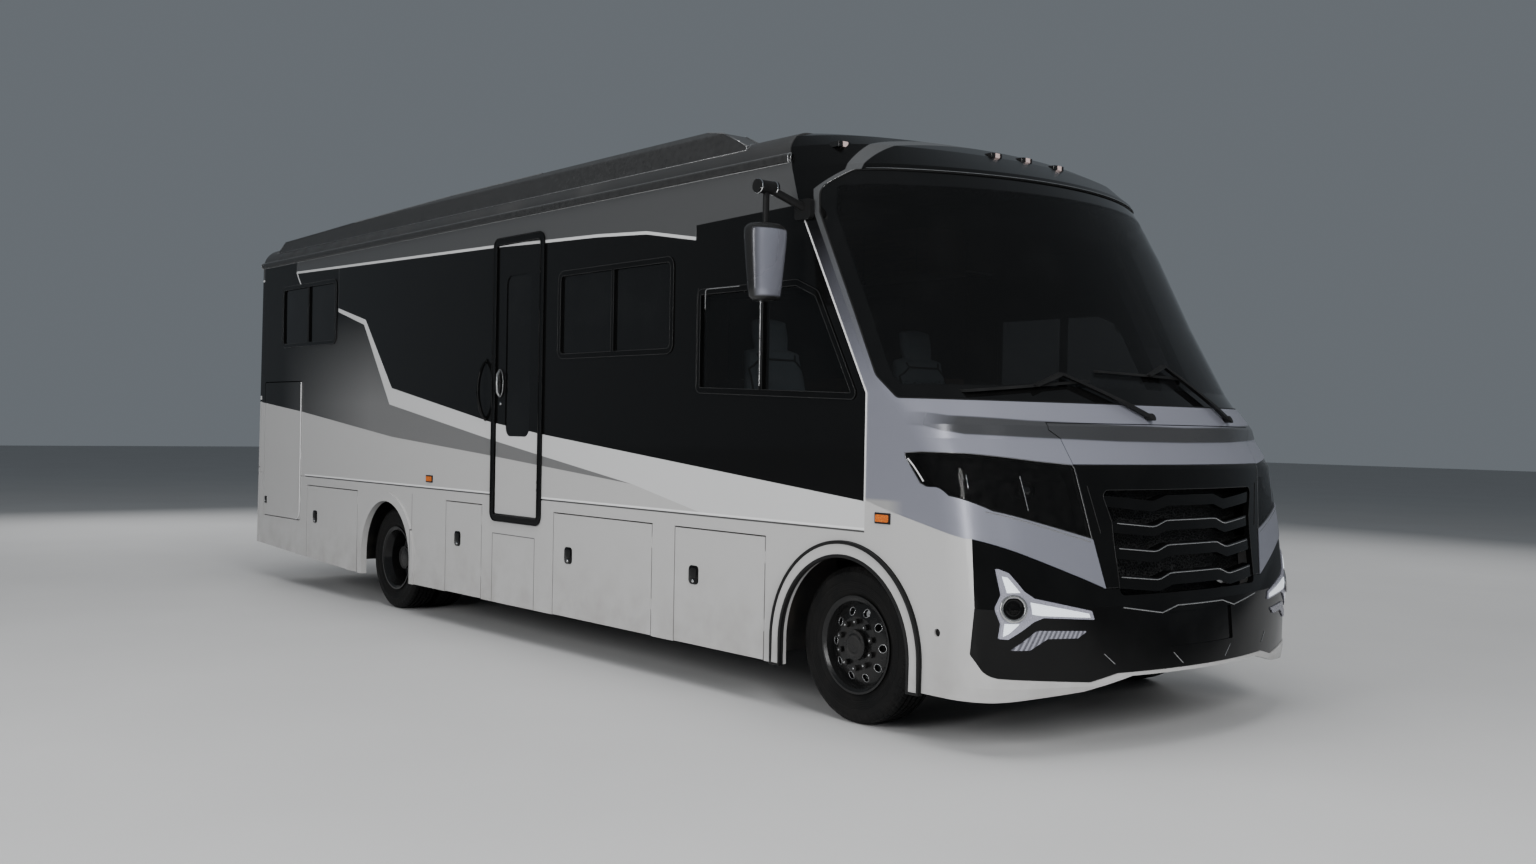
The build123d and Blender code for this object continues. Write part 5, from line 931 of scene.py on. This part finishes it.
# Grille backing mesh, and thin bright lines along the lower edge of the mouth
backing = bmesh.new()
bmesh.ops.create_grid(backing, x_segments=24, y_segments=8, size=0.5)
bmesh.ops.scale(backing, vec=(1.24, 0.52, 1.0), verts=backing.verts)
for corner in backing.verts:
    y, z = corner.co.x, corner.co.y + 0.930
    corner.co = (4.345 - y * y * 0.17 - (z - 0.67) * 0.12, y, z)
piece("grille_backing", backing, grille_mesh)
SLAT_DIPS = (0.760, 0.888, 1.001)
SLAT_EDGE = ((0.520, 0.013), (0.300, -0.007), (0.270, -0.004), (0.205, 0.018), (0.170, 0.020))
slat_lines = []
for dip in SLAT_DIPS:
    half = [(y, dip + rise) for y, rise in SLAT_EDGE]
    slat_lines.append(trim_on("grille", filled(sided(-1, half) + half[::-1]), 0.0005))
piece("slat_edges", bars(slat_lines, 0.0026), satin_metal)
MOUTH_LIP = ((-0.536, 0.640), (-0.291, 0.604), (-0.183, 0.632), (0.183, 0.632), (0.291, 0.604),
             (0.536, 0.640))
piece("mouth_lip_line", line_on("bumper_front", 1, MOUTH_LIP, 0.003, 0.001), satin_metal)
SURROUND_CREASE = ((0.682, 1.184), (0.626, 0.972))
VALANCE_JOINTS = ((0.652, 0.440), (0.595, 0.392)), ((0.231, 0.420), (0.170, 0.368))
for word, side in SIDES:
    line = line_on("grille_surround", side, SURROUND_CREASE, 0.002, 0.001)
    piece(f"surround_crease_{word}", line, satin_black)
    ticks = [trim_on("bumper_front", sided(side, tick), 0.001) for tick in VALANCE_JOINTS]
    piece(f"valance_joints_{word}", bars(ticks, 0.0022), satin_metal)


# Mirror heads with the glass on the rear of each, and rings on the barrels
def oval(step, wave):
    """A place on a rounded-off rectangle of half size 1."""
    value = wave(step / MIRROR_STEPS * 2 * pi)
    return abs(value) ** (2 / 2.3) * (1 if value > 0 else -1)


GLASS_LOW, GLASS_HIGH = 2.08, 2.36
GLASS_ACROSS = (-0.72, -0.54, -0.36, -0.18, 0.0, 0.18, 0.36, 0.54, 0.72)
BARREL_RING = ((-0.006, 0.0325), (0.006, 0.0325), (0.006, 0.036), (-0.006, 0.036), (-0.006, 0.0325))
BARREL_Z, RING_SHIFT = 2.590, 0.048
for word, side in SIDES:
    shell = bmesh.new()
    rings = [[shell.verts.new((MIRROR_X + deep * oval(turn, sin),
                               side * MIRROR_Y + wide * oval(turn, cos), z)) for turn in range(MIRROR_STEPS)]
             for z, wide, deep in MIRROR_SECTIONS]
    for lower, upper in zip(rings, rings[1:]):
        wall(shell, lower, upper)
    shell.faces.new(rings[0])
    shell.faces.new(rings[-1])
    shell = piece(f"mirror_shell_{word}", shell, mirror_silver)
    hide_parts("mirror_heads")
    glass = bmesh.new()
    rows = [[glass.verts.new((MIRROR_X - 0.984 * deep * (1 - abs(across) ** 2.6) ** (1 / 2.6) - 0.0006,
                              side * MIRROR_Y + wide * across, z)) for across in GLASS_ACROSS]
            for z, wide, deep in MIRROR_SECTIONS if GLASS_LOW < z < GLASS_HIGH]
    for lower, upper in zip(rows, rows[1:]):
        wall(glass, lower, upper, closed=False)
    bmesh.ops.solidify(glass, geom=glass.faces[:], thickness=0.002)
    piece(f"mirror_glass_{word}", glass, chrome)
    for shift in (-RING_SHIFT, RING_SHIFT):
        ring = turned(BARREL_RING, (MIRROR_X, side * MIRROR_Y + shift, BARREL_Z), (0, 1, 0))
        piece(f"mirror_ring_{word}_{'out' if shift * side > 0 else 'in'}", ring, chrome)

# A white bar as a painted highlight along the seam in front of the cab window, and the lines of its frame and
# pane
FRAME_FACE = 1.2315
FACE_LINES = (
    # name, finish, radius, distance across, lines through places (along, up)
    # Painted highlight along the seam between the nose and the cab wall
    ("seam_highlight_line", satin_white, 0.0045, HALF_WIDTH + 0.001, [((3.446, 1.08), (3.446, 1.591), (2.937, 2.532))]),
    ("cab_pane_edge", satin_metal, 0.0045, FRAME_FACE,
     [((2.655, 1.632), (2.655, 1.870)), ((2.655, 1.880), (2.655, 2.125))]),
    ("cab_frame_line", satin_metal, 0.0028, FRAME_FACE,
     [((2.184, 2.050), (2.184, 2.148), (2.200, 2.158), (2.480, 2.156))]),
    ("cab_frame_edge", satin_black, 0.0022, FRAME_FACE, [((2.118, 1.640), (2.118, 2.165))]),
)
for word, side in SIDES:
    for name, coating, radius, across, lines in FACE_LINES:
        lines = [[(x, side * across, z) for x, z in line] for line in lines]
        piece(f"{name}_{word}", bars(lines, radius), coating)

# Bezels round the amber side markers
MARKERS = (("rear", -1.059, 1.007), ("front", 3.569, 1.008))
BEZEL_LONG, BEZEL_TALL, BEZEL_NEAR, BEZEL_FAR = 0.052, 0.026, 1.2248, 1.231
for word, side in SIDES:
    for label, x, z in MARKERS:
        low = (x - BEZEL_LONG, side * BEZEL_NEAR, z - BEZEL_TALL)
        high = (x + BEZEL_LONG, side * BEZEL_FAR, z + BEZEL_TALL)
        piece(f"marker_bezel_{word}_{label}", soft_box(low, high, 0.005), black_moulded)


# Cab seats: each pad swells under pressure in the room of its solid, and is then sewn into channels
SEAT_ACROSS = 0.600
VOXEL = 0.0075
PRESSURE = 4.0
SWELL = 0.011
SWELL_FRAMES = 20
CHANNEL_DEPTH = 0.007
CHANNEL_HALF = 0.012
PADS = (
    # name, softness of its edges, corners (along, up) from the front foot round, half widths at foot
    # and head, places of the channels
    ("seat_base", 0.25, ((2.728, 1.230), (2.186, 1.228), (2.160, 1.330), (2.722, 1.352)), (0.246, 0.246),
     (2.300, 2.440, 2.580)),
    ("seat_back", 0.32, ((2.168, 1.224), (2.050, 1.222), (1.940, 1.886), (2.014, 1.898)), (0.244, 0.215),
     (1.370, 1.500, 1.630)),
    ("head_rest", 0.45, ((2.036, 1.822), (1.952, 1.812), (1.912, 2.042), (1.986, 2.050)), (0.112, 0.136), ()),
)


def pad_start(softness, corners, halves):
    """A pad's closed form before it swells: a block between four corners with rounded edges."""
    pad = bmesh.new()
    bmesh.ops.create_cube(pad, size=2.0)
    bmesh.ops.subdivide_edges(pad, edges=pad.edges[:], cuts=15, use_grid_fill=True)
    for corner in pad.verts:
        reach = max(abs(part) for part in corner.co)
        soft = corner.co.lerp(corner.co.normalized() * reach * 1.05, softness)
        share, rise = (1 - soft.x) / 2, (1 + soft.z) / 2
        foot = Vector(corners[0]).lerp(Vector(corners[1]), share)
        head = Vector(corners[3]).lerp(Vector(corners[2]), share)
        at = foot.lerp(head, rise)
        half = halves[0] + (halves[1] - halves[0]) * rise
        corner.co = (at.x, soft.y * half, at.y)
    return pad


def settled(holder):
    """An object's mesh with its modifiers applied."""
    return bpy.data.meshes.new_from_object(holder.evaluated_get(bpy.context.evaluated_depsgraph_get()))


def swollen(pad):
    """The pad's mesh in even voxels, puffed up by cloth under pressure, no point further than SWELL."""
    data = bpy.data.meshes.new("pad_start")
    pad.to_mesh(data)
    pad.free()
    holder = bpy.data.objects.new("pad_start", data)
    bpy.context.scene.collection.objects.link(holder)
    voxels = holder.modifiers.new("voxels", "REMESH")
    voxels.mode = "VOXEL"
    voxels.voxel_size = VOXEL
    start = settled(holder)
    holder.modifiers.clear()
    holder.data = start
    cloth = holder.modifiers.new("swell", "CLOTH")
    cloth.settings.use_pressure = True
    cloth.settings.uniform_pressure_force = PRESSURE
    cloth.settings.effector_weights.gravity = 0.0
    for frame_number in range(1, SWELL_FRAMES + 1):
        bpy.context.scene.frame_set(frame_number)
    puffed = settled(holder)
    for corner, before in zip(puffed.vertices, [vertex.co.copy() for vertex in start.vertices]):
        move = corner.co - before
        corner.co = before + move * min(1.0, SWELL / max(move.length, 1e-9))
    bpy.context.scene.frame_set(1)
    start = puffed
    bpy.data.objects.remove(holder)
    return start


def sewn(data, name, half, channels):
    """Presses sewn channels into the middle of a pad's face."""
    shape = bmesh.new()
    shape.from_mesh(data)
    shape.normal_update()
    for corner in shape.verts:
        on_face = corner.normal.z > 0.6 if name == "seat_base" else corner.normal.x > 0.6
        place = corner.co.x if name == "seat_base" else corner.co.z
        inside = max(0.0, 1.0 - max(0.0, abs(corner.co.y) - half * 0.62) / 0.02)
        if on_face and inside:
            near = min((abs(place - channel) for channel in channels), default=1.0)
            press = max(0.0, cos(min(near / CHANNEL_HALF, 1.0) * pi / 2))
            corner.co -= corner.normal * press * inside * CHANNEL_DEPTH
    return shape


for name, softness, corners, halves, channels in PADS:
    data = swollen(pad_start(softness, corners, halves))
    for word, side in SIDES:
        pad = sewn(data, name, halves[0], channels)
        bmesh.ops.translate(pad, vec=(0.0, side * SEAT_ACROSS, 0.0), verts=pad.verts)
        made = piece(f"{name}_{word}", pad, pale_leather)
        subdivision = made.modifiers.new("rounding", "SUBSURF")
        subdivision.levels = subdivision.render_levels = 1
        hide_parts("seat_cushions")

# Dark piping over the back below the head rest, branching down both sides
PIPING = (
    # label, places (across, up)
    ("yoke", ((-0.155, 1.868), (-0.130, 1.808), (0.130, 1.808), (0.155, 1.868))),
    ("port", ((0.130, 1.808), (0.196, 1.750), (0.200, 1.260))),
    ("starboard", ((-0.130, 1.808), (-0.196, 1.750), (-0.200, 1.260))),
)
for word, side in SIDES:
    back = bpy.data.objects[f"seat_back_{word}"].data
    corners = [corner.co for corner in back.vertices]
    cloth_face = BVHTree.FromPolygons(corners, [face.vertices[:] for face in back.polygons])
    for label, places in PIPING:
        line = []
        for across, up in filled(places):
            found = cloth_face.ray_cast(Vector((3.0, side * SEAT_ACROSS + across, up)), Vector((-1, 0, 0)))
            if found[0]:
                line.append(found[0] + Vector((0.001, 0.0, 0.0)))
        piece(f"piping_{label}_{word}", bars([line], 0.0065), dark_leather)

# Dashboard details: instrument hood, screen and vents
hood = soft_box((3.270, 0.36, 1.440), (3.420, 0.86, 1.540), 0.025, 4)
piece("instrument_hood", hood, black_moulded)
screen = soft_box((3.318, -0.10, 1.340), (3.336, 0.14, 1.480), 0.006)
piece("dash_screen", screen, black_gloss)
VENTS_ACROSS, VENT_HALF, VENT_RISE, VENT_PITCH = (-0.90, -0.35, 0.98), 0.07, 1.300, 0.016
for y in VENTS_ACROSS:
    for step in range(5):
        z = VENT_RISE + step * VENT_PITCH
        slat = soft_box((3.470, y - VENT_HALF, z), (3.488, y + VENT_HALF, z + 0.006), 0.002, 2)
        piece(f"dash_vent_{round(abs(y) * 100)}_{step}", slat, black_moulded)

# Rooftop cooler louvres
LOUVRE_REAR, LOUVRE_PITCH, LOUVRE_HALF = 0.560, 0.048, 0.24
for step in range(9):
    x = LOUVRE_REAR + step * LOUVRE_PITCH
    slat = soft_box((x, -LOUVRE_HALF, 3.043), (x + 0.020, LOUVRE_HALF, 3.049), 0.0025, 2)
    piece(f"cooler_louvre_{step}", slat, black_moulded)

# Rear: a camera pod and two reflectors
camera_pod = soft_box((-4.430, -0.05, 2.540), (-4.392, 0.05, 2.590), 0.010, 4)
piece("rear_camera_pod", camera_pod, black_gloss)
REFLECTOR = ((0.0, 0.030), (0.006, 0.030), (0.009, 0.026), (0.009, 0.0))
for word, side in SIDES:
    disc = turned(REFLECTOR, (-4.476, side * 0.95, 0.560), (-1, 0, 0), 32)
    piece(f"rear_reflector_{word}", disc, red_lens)

# Floor, lights and camera
floor_mesh = bpy.data.meshes.new("studio_floor")
shape = bmesh.new()
bmesh.ops.create_grid(shape, x_segments=1, y_segments=1, size=60.0)
shape.to_mesh(floor_mesh)
shape.free()
floor = bpy.data.objects.new("studio_floor", floor_mesh)
bpy.context.scene.collection.objects.link(floor)


def floor_surface(place, x, y, z):
    """Pale studio floor, very slightly mottled."""
    colour = place.noise(0.6, 3.0).between(grey(0.40), grey(0.46))
    return {"Base Color": colour, "Roughness": place.noise(2.0) * 0.1 + 0.6}


floor_mesh.materials.append(finish("studio_floor_paint", floor_surface))

world = bpy.data.worlds.new("studio_air")
bpy.context.scene.world = world
world.use_nodes = True
background = world.node_tree.nodes["Background"]
background.inputs[0].default_value = (0.50, 0.56, 0.62, 1.0)
background.inputs[1].default_value = 0.28

# Large lamps: name, place, target, size, power, and whether glossy faces show them
for name, place, target, size, power, mirrored in (
    ("overhead", (2.0, -2.0, 10.0), (1.5, 0.0, 1.0), (9.0, 6.0), 780.0, False),
    ("side_fill", (2.0, -11.0, 4.6), (1.2, 0.0, 1.0), (8.0, 4.0), 640.0, False),
    ("nose_key", (11.0, -3.5, 5.0), (4.0, -0.5, 1.2), (3.0, 4.0), 760.0, False),
    ("corner_strip", (4.9, -12.0, 3.5), (3.8, -1.2, 1.2), (1.3, 7.0), 330.0, True),
    ("far_fill", (2.0, 12.0, 6.0), (0.0, 0.0, 1.0), (12.0, 4.0), 600.0, False),
    ("rear_fill", (-12.0, 0.0, 5.0), (-4.0, 0.0, 1.2), (6.0, 4.0), 450.0, False),
):
    lamp = bpy.data.lights.new(name, "AREA")
    lamp.shape = "RECTANGLE"
    lamp.size, lamp.size_y = size
    lamp.energy = power
    made = bpy.data.objects.new(name, lamp)
    made.location = place
    made.visible_glossy = mirrored
    made.rotation_mode = "QUATERNION"
    made.rotation_quaternion = (Vector(target) - Vector(place)).to_track_quat("-Z", "Y")
    bpy.context.scene.collection.objects.link(made)

# The photo's camera; its focal length is given in pixels of the photo
YAW, PITCH, ROLL = radians(140.33), radians(-0.25), radians(1.0)
EYE = (8.280, -5.833, 1.428)
FOCAL, PHOTO_WIDTH, SENSOR = 1416.2, 1536, 36.0
ahead = Vector((cos(PITCH) * cos(YAW), cos(PITCH) * sin(YAW), sin(PITCH)))
level = Vector((sin(YAW), -cos(YAW), 0.0))
upward = level.cross(ahead)
right = level * cos(ROLL) + upward * sin(ROLL)
top = upward * cos(ROLL) - level * sin(ROLL)
camera = bpy.data.cameras.new("photo_camera")
camera.sensor_width = SENSOR
camera.lens = SENSOR * FOCAL / PHOTO_WIDTH
camera.clip_end = 200.0
eye = bpy.data.objects.new("photo_camera", camera)
eye.matrix_world = Matrix.Translation(EYE) @ Matrix((right, top, -ahead)).transposed().to_4x4()
bpy.context.scene.collection.objects.link(eye)
bpy.context.scene.camera = eye
